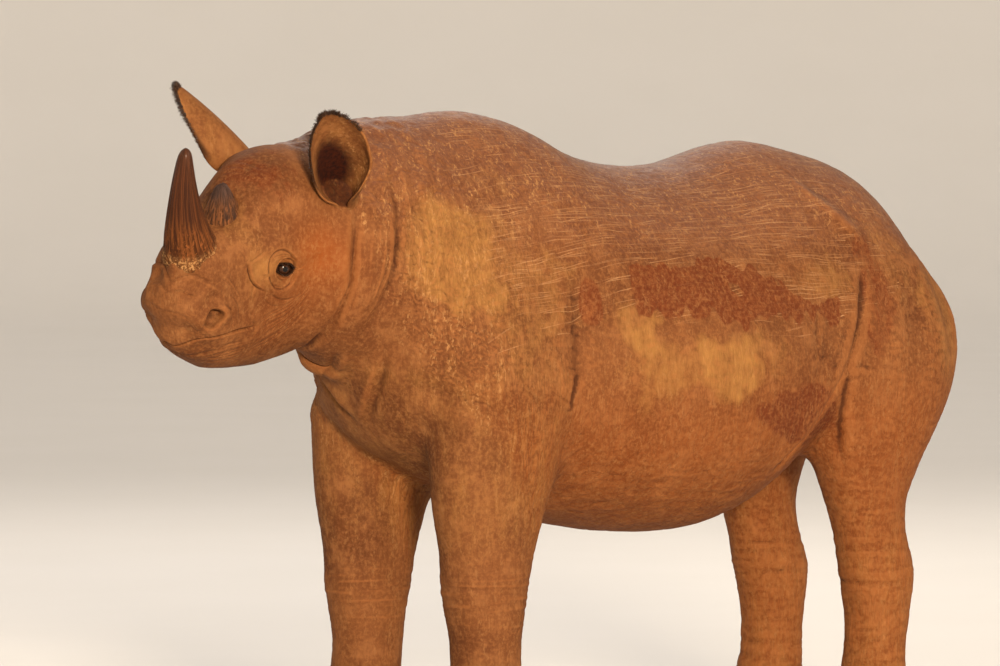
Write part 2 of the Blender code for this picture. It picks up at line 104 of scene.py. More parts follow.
def set_points(mesh, points):
    mesh.vertices.foreach_set("co", np.ascontiguousarray(points, np.float32).ravel())
    mesh.update()


def normals_of(mesh, points):
    set_points(mesh, points)
    out = np.empty(len(mesh.vertices) * 3, np.float32)
    mesh.vertex_normals.foreach_get("vector", out)
    return out.reshape(-1, 3).astype(float)


def new_object(name, mesh):
    obj = bpy.data.objects.new(name, mesh)
    bpy.context.scene.collection.objects.link(obj)
    return obj


def net_faces(rows, columns):
    """Quads of a net whose rows close on themselves."""
    cells = [(r * columns, c, (c + 1) % columns) for r in range(rows - 1) for c in range(columns)]
    return [(r + c, r + d, r + columns + d, r + columns + c) for r, c, d in cells]


def outward(mesh):
    bm = bmesh.new()
    bm.from_mesh(mesh)
    bmesh.ops.recalc_face_normals(bm, faces=bm.faces)
    bm.to_mesh(mesh)
    bm.free()


def mesh_from(name, points, faces):
    mesh = bpy.data.meshes.new(name)
    mesh.from_pydata(points, [], faces)
    mesh.update()
    return mesh


def capped_net(name, points, rows, columns):
    ends = [tuple(range(columns))[::-1], tuple(range((rows - 1) * columns, rows * columns))]
    return mesh_from(name, points.tolist(), net_faces(rows, columns) + ends)


def applied(obj):
    """The mesh of an object once its modifiers are applied."""
    graph = bpy.context.evaluated_depsgraph_get()
    mesh = bpy.data.meshes.new_from_object(obj.evaluated_get(graph))
    obj.modifiers.clear()
    obj.data = mesh
    return mesh


class Net:
    """Edges of a mesh, to average values over the neighbours of each point."""

    def __init__(self, mesh):
        edges = np.empty(len(mesh.edges) * 2, np.int32)
        mesh.edges.foreach_get("vertices", edges)
        self.a, self.b = edges.reshape(-1, 2).T
        self.count = len(mesh.vertices)
        self.degree = np.bincount(self.a, minlength=self.count)
        self.degree = np.maximum(self.degree + np.bincount(self.b, minlength=self.count), 1)

    def mean(self, values):
        flat = values.reshape(self.count, -1)
        out = np.empty_like(flat)
        for k in range(flat.shape[1]):
            column = flat[:, k]
            total = np.bincount(self.a, column[self.b], self.count)
            total += np.bincount(self.b, column[self.a], self.count)
            out[:, k] = total / self.degree
        return out.reshape(values.shape)

    def soften(self, values, rounds, share=0.5):
        for _ in range(rounds):
            values = values + share * (self.mean(values) - values)
        return values

    def fair(self, points, rounds, share=0.5):
        """Smooths facets away, then gives back most of what that shrinks."""
        smooth = self.soften(points, rounds, share)
        return smooth + self.soften(points - smooth, rounds, share)


# ---- noise
def lattice(seed):
    random = np.random.RandomState(seed)
    ways = random.normal(size=(256, 3))
    ways /= np.linalg.norm(ways, axis=1)[:, None]
    return random.permutation(256), ways.astype(np.float32)


def noise(points, scale, seed=1):
    """Smooth noise from -1 to 1 with features about as large as scale, which may differ per axis."""
    shuffled, ways = lattice(seed)
    place = (points / np.asarray(scale, float)).astype(np.float32) + 1000.0
    cell = np.floor(place).astype(np.int32)
    local = place - cell
    fade = local**3 * (local * (local * 6 - 15) + 10)
    out = np.zeros(len(points), np.float32)
    for corner in np.ndindex(2, 2, 2):
        at = cell + np.array(corner, np.int32)
        pick = shuffled[(at[:, 0] + shuffled[(at[:, 1] + shuffled[at[:, 2] & 255]) & 255]) & 255]
        reach = local - np.array(corner, np.float32)
        value = np.einsum("ij,ij->i", ways[pick], reach)
        weight = np.ones(len(points), np.float32)
        for k in range(3):
            weight *= fade[:, k] if corner[k] else 1 - fade[:, k]
        out += value * weight
    return np.clip(out * 1.6, -1, 1).astype(float)


def layers(points, scale, seed, count=3):
    total, size = 0.0, 1.0
    for i in range(count):
        total = total + noise(points, np.asarray(scale, float) * 0.5**i, seed + i) * size
        size *= 0.5
    return total / 1.6


def bell(distance, width):
    return np.exp(-((distance / width) ** 2))


def blob(places, centre, sizes):
    """1 at the centre, and less further away in each direction."""
    return np.exp(-(((places - centre) / sizes) ** 2).sum(1))


def step(values, low, high):
    t = np.clip((values - low) / (high - low), 0, 1)
    return t * t * (3 - 2 * t)


# ---- the head's own axes
def head_axes():
    ahead = np.array([
        math.cos(HEAD_PITCH) * math.sin(HEAD_TURN),
        -math.cos(HEAD_PITCH) * math.cos(HEAD_TURN),
        -math.sin(HEAD_PITCH),
    ])
    level_left = np.array([math.cos(HEAD_TURN), math.sin(HEAD_TURN), 0.0])
    level_up = np.cross(ahead, level_left)
    left = level_left * math.cos(HEAD_ROLL) - level_up * math.sin(HEAD_ROLL)
    return np.array([ahead, left, np.cross(ahead, left)])


AXES = head_axes()
HEAD_SEAT = (middle("eye_left") + middle("eye_right")) / 2 - AXES[0] * EYE_ALONG - AXES[2] * EYE_HEIGHT
EYE_ACROSS = float(np.dot(middle("eye_left") - HEAD_SEAT, AXES[1]))
EYE_RADIUS = float((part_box("eye_left")[1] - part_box("eye_left")[0]).x) / 2


def in_head(points):
    return (points - HEAD_SEAT) @ AXES.T


def from_head(places):
    return np.asarray(places, float) @ AXES + HEAD_SEAT


# ---- the plain body under the folds
def plug(bm, centre, half_sizes, turn=None):
    made = bmesh.ops.create_icosphere(bm, subdivisions=3, radius=1.0)["verts"]
    bmesh.ops.scale(bm, vec=half_sizes, verts=made)
    if turn is not None:
        bmesh.ops.rotate(bm, matrix=turn, verts=made)
    bmesh.ops.translate(bm, vec=centre, verts=made)


def plain_body():
    """Flesh nodes fused into one closed mesh, with their seats for horns, eyes and nails filled."""
    bm = bmesh.new()
    for name in FLESH:
        bm.from_mesh(NODES[name].data)
    turn = Matrix(AXES.tolist()).transposed()
    plug(bm, from_head((0.382, 0, 0.018)), (0.062, 0.054, 0.026), turn)
    plug(bm, from_head((0.252, 0, 0.024)), (0.050, 0.044, 0.026), turn)
    for name in NODES:
        if name.startswith("eye"):
            plug(bm, middle(name), (EYE_RADIUS, EYE_RADIUS, EYE_RADIUS))
        if "toenail" in name:
            low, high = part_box(name)
            plug(bm, middle(name), (high - low) * 0.40)
    mesh = bpy.data.meshes.new("skin")
    bm.to_mesh(mesh)
    bm.free()
    obj = new_object("skin", mesh)
    remesh = obj.modifiers.new("fuse", "REMESH")
    remesh.mode = "VOXEL"
    remesh.voxel_size = BODY_GRID
    mesh = applied(obj)
    points = points_of(mesh)
    net = Net(mesh)
    points = net.fair(points, 9)
    place = in_head(points)
    on_trunk = step(place[:, 0], -0.02, -0.20) * step(points[:, 2], 0.25, 0.5)
    tail = bell(points[:, 0], 0.05) * step(points[:, 1], 1.07, 1.10)
    smooth = net.fair(points, TRUNK_SMOOTHING)
    points += (smooth - points) * (on_trunk * (1 - tail))[:, None]
    points[:, 2] = np.maximum(points[:, 2], 0.0005)
    set_points(mesh, points)
    return obj


def refine(obj, chosen):
    """Splits the faces whose points are all chosen."""
    bm = bmesh.new()
    bm.from_mesh(obj.data)
    bm.verts.ensure_lookup_table()
    wanted = chosen(points_of(obj.data))
    edges = [edge for edge in bm.edges if wanted[edge.verts[0].index] and wanted[edge.verts[1].index]]
    bmesh.ops.subdivide_edges(bm, edges=edges, cuts=1, use_grid_fill=True)
    bm.to_mesh(obj.data)
    bm.free()


def on_head_and_neck(points):
    place = in_head(points)
    return (place[:, 0] > -0.10) | ((points[:, 1] < -0.36) & (points[:, 2] > 0.80))


def on_face(points):
    place = in_head(points)
    return (place[:, 0] > 0.115) & (place[:, 2] > -0.30) & (place[:, 2] < 0.06)


def near_openings(points):
    place = in_head(points)
    place[:, 1] = np.abs(place[:, 1])
    eye = np.linalg.norm(place - (EYE_ALONG, EYE_ACROSS, EYE_HEIGHT), axis=1) < 0.040
    return eye & (place[:, 0] > 0)


def finer(obj):
    refine(obj, on_head_and_neck)
    refine(obj, on_face)
    refine(obj, near_openings)
    smooth = obj.modifiers.new("finer", "SUBSURF")
    smooth.levels = 1
    smooth.render_levels = 1
    applied(obj)


# ---- ears
def fit_rows(rows, count):
    """Smooth curve through the rows of a table, read at even steps of its first column."""
    table = np.array(rows, float)
    key = table[:, 0]
    slope = np.gradient(table, key, axis=0)
    out = []
    for place in np.linspace(key[0], key[-1], count):
        i = min(np.searchsorted(key, place, side="right") - 1, len(key) - 2)
        span = key[i + 1] - key[i]
        t = (place - key[i]) / span
        out.append(
            (2 * t**3 - 3 * t**2 + 1) * table[i]
            + (t**3 - 2 * t**2 + t) * span * slope[i]
            + (3 * t**2 - 2 * t**3) * table[i + 1]
            + (t**3 - t**2) * span * slope[i + 1]
        )
    return np.array(out)


def ear_axes(side):
    seat, tipward, opening = (np.array(v, float) for v in EARS[side])
    tipward = unit(tipward)
    opening = unit(opening - tipward * opening.dot(tipward))
    return seat, tipward, opening, np.cross(tipward, opening)


def ear_place(side, share, half, angle, turn, inward=0.0):
    """Point of the ear's leaf in the head's axes; inward is towards the middle of its roll."""
    seat, tipward, opening, across = ear_axes(side)
    radius = half / angle
    root = seat + tipward * (share * (EAR_LENGTH + EAR_ROOT) - EAR_ROOT)
    root = root + opening * (EAR_CURL * share * share)
    reach = radius - inward
    rear = turn * SIDES[side] > 0
    open_share = step(np.array(share), 0.12, 0.45)
    wide = 1 + open_share * (0.10 if rear else -0.22)
    deep = 1 - open_share * (0.38 if rear else 0.0)
    depth = radius - reach * math.cos(turn)
    depth = (radius - reach) + (depth - radius + reach) * deep
    return root + opening * depth + across * reach * math.sin(turn) * wide


def ear(side):
    rows, columns = 74, 84
    outer, inner = [], []
    for share, half, angle in fit_rows(EAR_SHAPE, rows):
        for i in range(columns):
            way = 2 * i / (columns - 1) - 1
            wall = 0.0105 - 0.0045 * share
            wall *= math.sqrt(max(0.0, 1 - abs(way) ** 14)) * 0.75 + 0.25
            wall *= 0.30 + 0.70 * math.sqrt(max(0.0, 1 - share**16))
            outer.append(ear_place(side, share, half, angle, angle * way, -wall / 2))
            inner.append(ear_place(side, share, half, angle, angle * way, wall / 2))
    points = from_head(np.array(outer + inner))
    half_count = rows * columns
    faces = []
    for r in range(rows - 1):
        for c in range(columns - 1):
            a, b = r * columns + c, (r + 1) * columns + c
            faces.append((a, a + 1, b + 1, b))
            faces.append((half_count + a, half_count + b, half_count + b + 1, half_count + a + 1))
    net = np.arange(half_count).reshape(rows, columns)
    border = np.concatenate([net[0], net[1:, -1], net[-1, -2::-1], net[-2:0:-1, 0]]).tolist()
    for a, b in zip(border, border[1:] + border[:1]):
        faces.append((b, a, half_count + a, half_count + b))
    mesh = mesh_from("ear", points.tolist(), faces)
    outward(mesh)
    return new_object("ear_" + side + "_leaf", mesh)


def keys(points):
    """One whole number for each place, the same for points within a small cell."""
    cells = np.round(points * CELLS_TO_A_METRE).astype(np.int64)
    return cells @ np.array((1, KEY_PRIME, KEY_PRIME**2))


def join_ears(obj):
    """Joins both ears to the body, softens where they meet, and tells which points are the ears'."""
    known = []
    for side in SIDES:
        leaf = ear(side)
        known.append(keys(points_of(leaf.data)))
        join = obj.modifiers.new("join", "BOOLEAN")
        join.operation = "UNION"
        join.solver = "MANIFOLD"
        join.object = leaf
        applied(obj)
        bpy.data.objects.remove(leaf)
    mesh = obj.data
    mesh.polygons.foreach_set("material_index", np.zeros(len(mesh.polygons), np.int32))
    mesh.materials.clear()
    net = Net(mesh)
    points = points_of(mesh)
    on_ear = np.isin(keys(points), np.concatenate(known))
    reach = ((net.mean(on_ear.astype(float)) > 0) & ~on_ear).astype(float)
    for _ in range(7):
        reach = np.maximum(reach, net.mean(reach) * 1.1)
    reach = np.clip(net.soften(reach, 4) * 1.6, 0, 1)
    for _ in range(14):
        points += (net.mean(points) - points) * (0.5 * reach)[:, None]
    set_points(mesh, points)
    return on_ear


# ---- folds and wrinkles
# All in millimetres. Folds of the head in its own axes, drawn on the left and mirrored to the right:
# knots (along, across, height), depth, width, lip, lip width, and the side of the lip.
HEAD_FOLDS = {
    "corner of the mouth": (((318, 106, -160), (305, 109, -175), (300, 109, -192), (308, 106, -208)),
      4, 4.5, 3, 14, 1),
    "before the eye": (((293, 95, -16), (296, 101, -30), (298, 106, -47), (296, 108, -67), (289, 112, -86),
      (275, 119, -102), (263, 123, -116)), 5, 2.8, 3.4, 12, 1),
    "fork before the eye": (((298, 80, 10), (296, 88, -4), (293, 95, -20)), 1.6, 2.4, 1.2, 10, 1),
    "fork to the brow": (((294, 96, -20), (279, 101, -26), (254, 106, -19), (232, 110, -10)),
      2, 2.6, 2.4, 12, -1),
    "fork below": (((292, 110, -78), (303, 109, -98), (300, 111, -120)), 2, 2.6, 1.5, 10, 1),
    "under the eye": (((266, 122, -108), (242, 129, -138), (216, 137, -156), (180, 146, -160)),
      2.8, 3.4, 2.8, 14, 1),
    "second under the eye": (((280, 118, -122), (258, 124, -150), (225, 134, -172)), 1.6, 3, 1.5, 10, 1),
    "nostril wing": (((388, 101, -76), (376, 103, -100), (374, 102, -130), (388, 100, -152)),
      4.5, 5, 4, 14, -1),
    "behind the nostril": (((362, 101, -62), (350, 104, -100), (352, 104, -142)), 2, 4, 2.2, 14, -1),
}
# Folds that cross the middle of the nose, lips and chin, drawn from the middle to the left.
NOSE_FOLDS = {
    "mouth": (((494, 0, -166), (484, 16, -172), (475, 50, -158), (456, 74, -149), (421, 93, -152),
      (369, 100, -164), (323, 106, -180), (300, 108, -190)), 10.5, 4.2, 5, 20, 1),
    "over the nose": (((456, 0, -8), (448, 20, -1), (434, 51, 2), (405, 83, -19), (377, 96, -55)),
      3.4, 4.5, 2.4, 14, -1),
    "nose front": (((472, 0, -28), (465, 20, -22), (455, 50, -18), (440, 74, -34)), 2.4, 4, 1.8, 12, -1),
    "nose tip": (((486, 0, -60), (482, 22, -50), (472, 48, -46), (462, 66, -56)), 0.9, 4, 1, 12, -1),
    "upper lip": (((489, 0, -68), (489, 18, -67), (486, 36, -66), (477, 60, -77), (470, 70, -98),
      (462, 74, -120)), 0.9, 4, 1.2, 14, 1),
    "chin": (((462, 0, -205), (440, 45, -200), (400, 82, -196), (340, 100, -205)), 3.5, 6, 2.5, 15, 1),
}
# Bundles of fine lines between two guides: how many, depth, width.
HEAD_BUNDLES = {
    "cheek": (((318, 105, -182), (262, 122, -168), (217, 136, -166), (170, 150, -150), (130, 160, -110)),
     ((330, 92, -255), (270, 110, -262), (215, 125, -250), (170, 145, -215), (115, 165, -165)),
      10, 1.7, 2.6),
    "below the mouth": (((445, 70, -185), (400, 90, -180), (350, 100, -192), (310, 105, -204)),
     ((430, 40, -235), (390, 65, -248), (340, 85, -262), (290, 95, -275)), 7, 1.6, 2.6),
    "muzzle side": (((430, 68, -4), (395, 88, -25), (366, 98, -62), (352, 102, -105)),
     ((352, 78, 10), (340, 92, -30), (330, 100, -75), (322, 105, -130)), 6, 1.3, 2.6),
    "upper lip side": (((480, 50, -82), (476, 58, -110), (470, 60, -140)),
     ((440, 85, -128), (425, 92, -136), (400, 97, -146)), 5, 1.3, 2.6),
    "upper lid": (((262, 126, -52), (240, 132, -30), (205, 136, -38), (182, 140, -66)),
     ((252, 128, -64), (234, 134, -48), (208, 138, -54), (192, 140, -72)), 3, 1.3, 1.8),
    "lower lid": (((252, 128, -86), (236, 132, -104), (212, 138, -110), (186, 142, -100)),
     ((258, 126, -94), (238, 130, -116), (210, 138, -122), (180, 144, -110)), 2, 1.2, 1.8),
    "outer corner": (((190, 142, -84), (176, 147, -86), (158, 150, -82)),
     ((190, 142, -90), (172, 148, -104), (150, 152, -116)), 4, 1.6, 2),
    "forehead": (((185, 70, 50), (180, 30, 85), (180, -30, 85)),
     ((120, 80, 75), (110, 30, 105), (110, -30, 105)), 4, 1.2, 5),
}

# Folds of the neck, trunk and legs, on the left side, in the model's own axes.
JAW_LINE = (
    (160, -655, 1335), (177, -661, 1292), (185, -670, 1254), (188, -676, 1209),
    (184, -679, 1151), (174, -676, 1113), (155, -683, 1074), (125, -686, 1037),
    (80, -690, 1002), (30, -683, 985), (-60, -670, 985),
)
BODY_FOLDS = {
    "jaw": (JAW_LINE, 16, 12, 11, 55, -1),
    "jaw corner": (JAW_LINE[4:], 10, 7, 0, 20, -1),
    "neck": (((165, -560, 1400), (195, -560, 1330), (204, -565, 1268), (214, -575, 1201), (208, -585, 1141),
      (189, -599, 1089), (155, -612, 1032), (125, -615, 990)), 11, 18, 12, 55, -1),
    "throat": (((105, -640, 950), (60, -630, 925), (10, -610, 905), (-60, -590, 900)), 8, 12, 6, 30, 1),
    "throat flap": (((170, -565, 985), (120, -560, 905), (60, -530, 840), (0, -500, 790)),
      12, 14, 10, 30, -1),
    "chest": (((120, -520, 905), (160, -500, 885), (206, -470, 876), (253, -436, 861), (292, -395, 843),
      (317, -334, 815), (320, -260, 800)), 10, 26, 8, 60, -1),
    "behind the shoulder": (((270, -120, 1230), (296, -128, 1121), (305, -132, 1080), (315, -136, 1013),
      (320, -138, 945), (318, -140, 868), (295, -150, 800), (260, -160, 740)), 9, 28, 6, 80, -1),
    "armpit": (((322, -128, 925), (318, -134, 880), (300, -150, 830)), 6, 8, 2, 20, -1),
    "flank": (((290, 770, 1170), (308, 753, 1081), (320, 738, 1020), (326, 716, 966), (321, 679, 885),
      (319, 628, 817), (308, 576, 748), (297, 515, 690), (275, 470, 645)), 26, 15, 16, 60, -1),
    "thigh": (((318, 712, 930), (305, 710, 880), (291, 710, 825), (267, 725, 730), (258, 756, 646)),
      5, 12, 8, 40, 1),
    "hip": (((150, 655, 1350), (185, 685, 1323), (225, 728, 1278), (249, 785, 1229), (265, 840, 1160)),
      8, 45, 16, 35, -1),
    "thigh groove": (((285, 930, 1180), (312, 915, 1050), (318, 905, 930), (300, 900, 800)),
      8, 40, 0, 40, -1),
    "ham groove": (((240, 1010, 1190), (262, 1020, 1080), (255, 1020, 960), (225, 1010, 820)),
      7, 34, 0, 40, -1),
}
BODY_BUNDLES = {
    "neck": (((180, -640, 1330), (192, -655, 1240), (190, -662, 1150), (160, -668, 1070), (105, -672, 1005)),
     ((192, -580, 1330), (205, -592, 1240), (200, -600, 1150), (172, -618, 1070), (120, -638, 1005)),
      6, 3.5, 6),
    "shoulder": (((185, -540, 1360), (215, -550, 1260), (215, -560, 1160), (195, -575, 1060)),
     ((215, -440, 1380), (245, -440, 1270), (250, -450, 1160), (235, -470, 1060)), 5, 2.5, 9),
    "elbow": (((322, -160, 985), (325, -150, 930), (322, -150, 880)),
     ((325, -230, 960), (325, -215, 900), (320, -200, 850)), 4, 1.4, 6),
    "flank": (((335, 700, 1060), (340, 680, 1000), (335, 655, 930), (325, 610, 850)),
     ((360, 580, 1060), (370, 565, 1000), (368, 545, 930), (355, 510, 850)), 5, 2.2, 10),
}

# Swellings and hollows of the head: centre, half sizes along the head's axes, height.
HEAD_MASSES = (
    ((384, 40, 20), (34, 30, 34), 6), ((62, 70, -446), (55, 75, 38), 25), ((60, 150, -200), (90, 60, 95), 6),
    ((222, 135, -74), (36, 50, 46), 6), ((205, 105, -10), (55, 40, 24), 6),
    ((272, 100, -55), (22, 40, 30), -5), ((130, 150, -70), (60, 50, 20), 5),
    ((335, 90, -55), (45, 40, 40), -6), ((424, 101, -58), (34, 30, 24), -13),
    ((450, 72, -178), (32, 30, 40), -9), ((392, 98, -100), (16, 30, 34), 8),
    ((470, 72, -104), (16, 30, 30), 5), ((470, 30, -135), (30, 60, 22), 7),
    ((300, 110, -225), (60, 50, 22), 4), ((110, 60, 80), (70, 50, 40), 7),
    ((480, 60, -128), (36, 36, 36), -20), ((496, 20, -135), (30, 40, 30), -6),
    ((446, 60, -4), (36, 38, 32), -22), ((60, 122, 45), (50, 45, 40), 10), ((180, -50, 85), (50, 60, 40), 4),
)
EYE_GAZE = (0.46, 0.84, 0.30)
EYE_FRONT_CORNER = (0.75, -0.47, 0.40)
EYE_RING = (0.222, 0.135, -0.074)
EYE_RING_SIZE = (0.038, 0.051)
LID_THICKNESS = 0.0040
EYE_OPENING = (0.0215, 0.0128)
NOSTRIL = (0.424, 0.093, -0.100)
NOSTRIL_LONG = 0.0250
NOSTRIL_HIGH = 0.0225
NOSTRIL_DEPTH = 0.013
NAIL_MARGIN = 0.012
NAIL_PROBE = 0.014
NAIL_SINK = 0.0045
TOE_GAPS = (-0.46, 0.46)
TOE_GAP_DEPTH = 0.007


def smooth_line(knots, count=56):
    """Curve through all its knots, at even steps from knot to knot."""
    knots = np.asarray(knots, float)
    padded = np.vstack([2 * knots[0] - knots[1], knots, 2 * knots[-1] - knots[-2]])
    out = []
    for place in np.linspace(0, len(knots) - 1, count):
        i = min(int(place), len(knots) - 2)
        t = place - i
        a, b, c, d = padded[i:i + 4]
        out.append(0.5 * (2 * b + (c - a) * t + (2 * a - 5 * b + 4 * c - d) * t**2
                          + (3 * b - 3 * c + d - a) * t**3))
    return np.array(out)


def gaps_between(places, line):
    return ((places[:, None, :] - line[None].astype(np.float32)) ** 2).sum(2)


class Form:
    """The skin's points while folds and wrinkles are worked into them."""

    def __init__(self, mesh, on_ear):
        self.mesh = mesh
        self.net = Net(mesh)
        self.points = points_of(mesh)
        self.free = 1 - self.net.soften(on_ear.astype(float), 6)
        self.waiting = np.zeros(len(self.points))
        self.turn()

    def turn(self):
        """Moves points by what waits, along their normals, all but those of the ears."""
        if self.waiting.any():
            self.points += self.normals * (self.waiting * self.free)[:, None]
            self.waiting[:] = 0
        self.normals = normals_of(self.mesh, self.points)
        self.place = in_head(self.points)

    def from_line(self, line, reach):
        """Points near a line laid on the skin: which, distance, share along it, signed distance."""
        low, high = line.min(0) - reach, line.max(0) + reach
        near = np.nonzero(((self.points > low) & (self.points < high)).all(1))[0]
        places = self.points[near].astype(np.float32)
        gaps = gaps_between(places, line)
        laid = places[gaps.argmin(0)].astype(float)
        for _ in range(3):
            laid[1:-1] = (laid[:-2] + laid[1:-1] + laid[2:]) / 3
        gaps = gaps_between(places, laid)
        kept = gaps.min(1) < reach**2
        near, gaps = near[kept], gaps[kept]
        best = gaps.argmin(1)
        ways = np.gradient(laid, axis=0)
        ways /= np.linalg.norm(ways, axis=1)[:, None] + 1e-12
        offset = self.points[near] - laid[best]
        ahead = np.einsum("ij,ij->i", offset, ways[best])
        beyond = ((best == 0) & (ahead < 0)) | ((best == len(laid) - 1) & (ahead > 0))
        ahead = np.where(beyond, 0.0, ahead)
        offset = offset - ways[best] * ahead[:, None]
        distance = np.linalg.norm(offset, axis=1)
        side = np.einsum("ij,ij->i", offset, np.cross(self.normals[near], ways[best]))
        total = np.linalg.norm(np.diff(laid, axis=0), axis=1).sum()
        share = np.clip(best / (len(laid) - 1) + ahead / total, 0, 1)
        return near, distance, share, side

    def fold(self, knots, depth, width, lip, lip_width, side, ends=0.34, count=56):
        """A groove with a rounded lip of skin along one of its sides."""
        reach = max(3.0 * width, 2.4 * lip_width)
        near, distance, share, beside = self.from_line(smooth_line(knots, count), reach)
        taper = step(share, 0, ends) * step(1 - share, 0, ends)
        amount = -depth * bell(distance, width)
        if lip:
            over = 0.5 * (1 + np.tanh(side * beside / (0.5 * width)))
            amount += lip * over * bell(np.maximum(distance - 0.35 * lip_width, 0), lip_width)
        self.waiting[near] += amount * taper

    def bundle(self, first, last, count, depth, width, seed):
        """Fine lines side by side from one guide to the other, each a little different."""
        random = np.random.RandomState(seed)
        first, last = np.asarray(first, float), np.asarray(last, float)
        gap = np.linalg.norm(last - first, axis=1).mean() / count
        for share in (np.arange(count) + 0.5) / count:
            knots = first + (last - first) * share
            knots = knots + random.normal(size=knots.shape) * gap * 0.22
            start, end = sorted(random.uniform(0, 1, 2) * 0.5)
            line = smooth_line(knots, 40)
            line = line[int(start * 20):40 - int((0.5 - end) * 20)]
            strength = depth * random.uniform(0.6, 1.2)
            self.fold(line, strength, width * random.uniform(0.8, 1.2), 0, 0, 1, 0.35, 40)


def metres(*values):
    return [np.array(value, float) * 0.001 for value in values]


def flipped(knots, axis):
    return np.array(knots) * (1 - 2 * (np.arange(3) == axis))


def fold_pairs(form, folds, place, axis, at_once):
    """Folds on the left and their mirror images; place takes knots to the model's axes."""
    for knots, *sizes, side in folds.values():
        knots, *sizes = metres(knots, *sizes)
        form.fold(place(knots), *sizes, side)
        form.fold(place(flipped(knots, axis)), *sizes, -side)
        if at_once:
            form.turn()


def bundle_pairs(form, bundles, place, axis, seed):
    for first, last, count, depth, width in bundles.values():
        first, last, depth, width = metres(first, last, depth, width)
        form.bundle(place(first), place(last), count, depth, width, seed)
        form.bundle(place(flipped(first, axis)), place(flipped(last, axis)), count, depth, width, seed + 10)
        seed += 1
    form.turn()


def body_folds(form):
    fold_pairs(form, BODY_FOLDS, np.array, 0, True)
    bundle_pairs(form, BODY_BUNDLES, np.array, 0, 60)


def head_masses(form):
    for centre, sizes, height in HEAD_MASSES:
        centre, sizes, height = metres(centre, sizes, height)
        for side in SIDES.values():
            form.waiting += height * blob(form.place, centre * (1, side, 1), sizes)
    form.turn()


def head_folds(form):
    fold_pairs(form, HEAD_FOLDS, from_head, 1, False)
    form.turn()
    for knots, *sizes, side in NOSE_FOLDS.values():
        knots, *sizes = metres(knots, *sizes)
        whole = np.vstack([flipped(knots, 1)[:0:-1], knots])
        form.fold(from_head(whole), *sizes, side, 0.10, 110)
        form.turn()
    bundle_pairs(form, HEAD_BUNDLES, from_head, 1, 80)


def eye_frame(side):
    """Middle of an eyeball, and its axes towards the front corner, up and outwards."""
    flip = np.array((1, side, 1))
    out = unit(np.array(EYE_GAZE))
    front = np.array(EYE_FRONT_CORNER)
    front = unit(front - out * front.dot(out))
    up = np.cross(out, front)
    up *= np.sign(up[2])
    return np.array((EYE_ALONG, EYE_ACROSS, EYE_HEIGHT)) * flip, front * flip, up * flip, out * flip


def eye_sockets(form):
    """A ring of skin round each eye, and lids that drape over the ball with an opening between."""
    for side in (1, -1):
        turn = np.linspace(0, 2 * math.pi, 13)
        ring = np.array(EYE_RING) + EYE_RING_SIZE[0] * np.cos(turn)[:, None] * (0.98, -0.18, 0.06)
        ring = ring + EYE_RING_SIZE[1] * np.sin(turn)[:, None] * (-0.03, -0.16, 0.98)
        if side < 0:
            ring = flipped(ring, 1)
        form.fold(from_head(ring), 0.0030, 0.0026, 0.0035, 0.014, side, 0.02, 90)
    form.turn()
    for side in (1, -1):
        centre, front, up, out = eye_frame(side)
        offset = form.place - centre
        x, y, z = offset @ front, offset @ up, offset @ out
        radius = np.hypot(x, y)
        near = (z > -0.012) & (radius < 0.06) & (side * form.place[:, 1] > 0.05)
        lid = EYE_RADIUS + LID_THICKNESS
        dome = np.sqrt(np.maximum(lid**2 - radius**2, 0))
        cover = step(radius, lid * 1.15, lid * 0.80)
        hollow = z - 0.0045 * bell(radius - lid * 1.18, 0.006)
        target = hollow * (1 - cover) + dome * cover
        long, high = EYE_OPENING
        arch = np.maximum(1 - (np.abs(x) / long) ** 2.2, 0)
        half = high * arch * np.where(y > 0, 1.05, 0.90)
        gap = np.minimum(half - np.abs(y), (long - np.abs(x)) * 0.7)
        target += 0.0016 * bell(gap + 0.0015, 0.0020) * step(np.abs(x), long * 1.25, long)
        pit = step(gap, -0.0004, 0.0010)
        target = target * (1 - pit) + np.minimum(target, 0.004) * pit
        form.points += np.where(near, target - z, 0.0)[:, None] * (out @ AXES)
        form.turn()


def nostrils(form):
    """Openings that are deepest under their raised front rim and rise to a floor behind."""
    for side in (1, -1):
        place = form.place * (1, side, 1) - NOSTRIL
        x, y = place[:, 0], place[:, 2]
        near = np.abs(place[:, 1]) < 0.05
        oval = np.hypot(x / NOSTRIL_LONG, (y + 0.10 * x) / NOSTRIL_HIGH)
        inside = step(oval, 1.06, 0.80)
        under_arch = step(y + 0.25 * x, -0.030, 0.008)
        depth = NOSTRIL_DEPTH + 0.020 * under_arch * step(oval, 1.05, 0.62)
        rim = bell(oval - 1.28, 0.30) * (0.35 + 0.65 * step(y + 0.35 * x, -0.010, 0.010))
        form.waiting += (0.0050 * rim - depth * inside) * near
    form.turn()


def feet(form):
    """Hollows between the toes, and a shallow groove just above the sole round the sides and back of each
    foot.
    """
    z = form.points[:, 2]
    for name in FEET:
        centre = middle(name)
        side = -1 if "right" in name else 1
        offset = form.points - centre
        turn = np.arctan2(side * offset[:, 0], -offset[:, 1])
        near = (np.hypot(offset[:, 0], offset[:, 1]) < 0.17) & (z < 0.5)
        low = step(z, 0.125, 0.06) * step(z, 0.0, 0.01)
        for gap in TOE_GAPS:
            form.waiting -= TOE_GAP_DEPTH * bell(turn - gap, 0.13) * low * near
        pads = bell(z - 0.012, 0.006) * step(np.abs(turn), 1.5, 2.0)
        form.waiting -= 0.004 * pads * near
    form.turn()


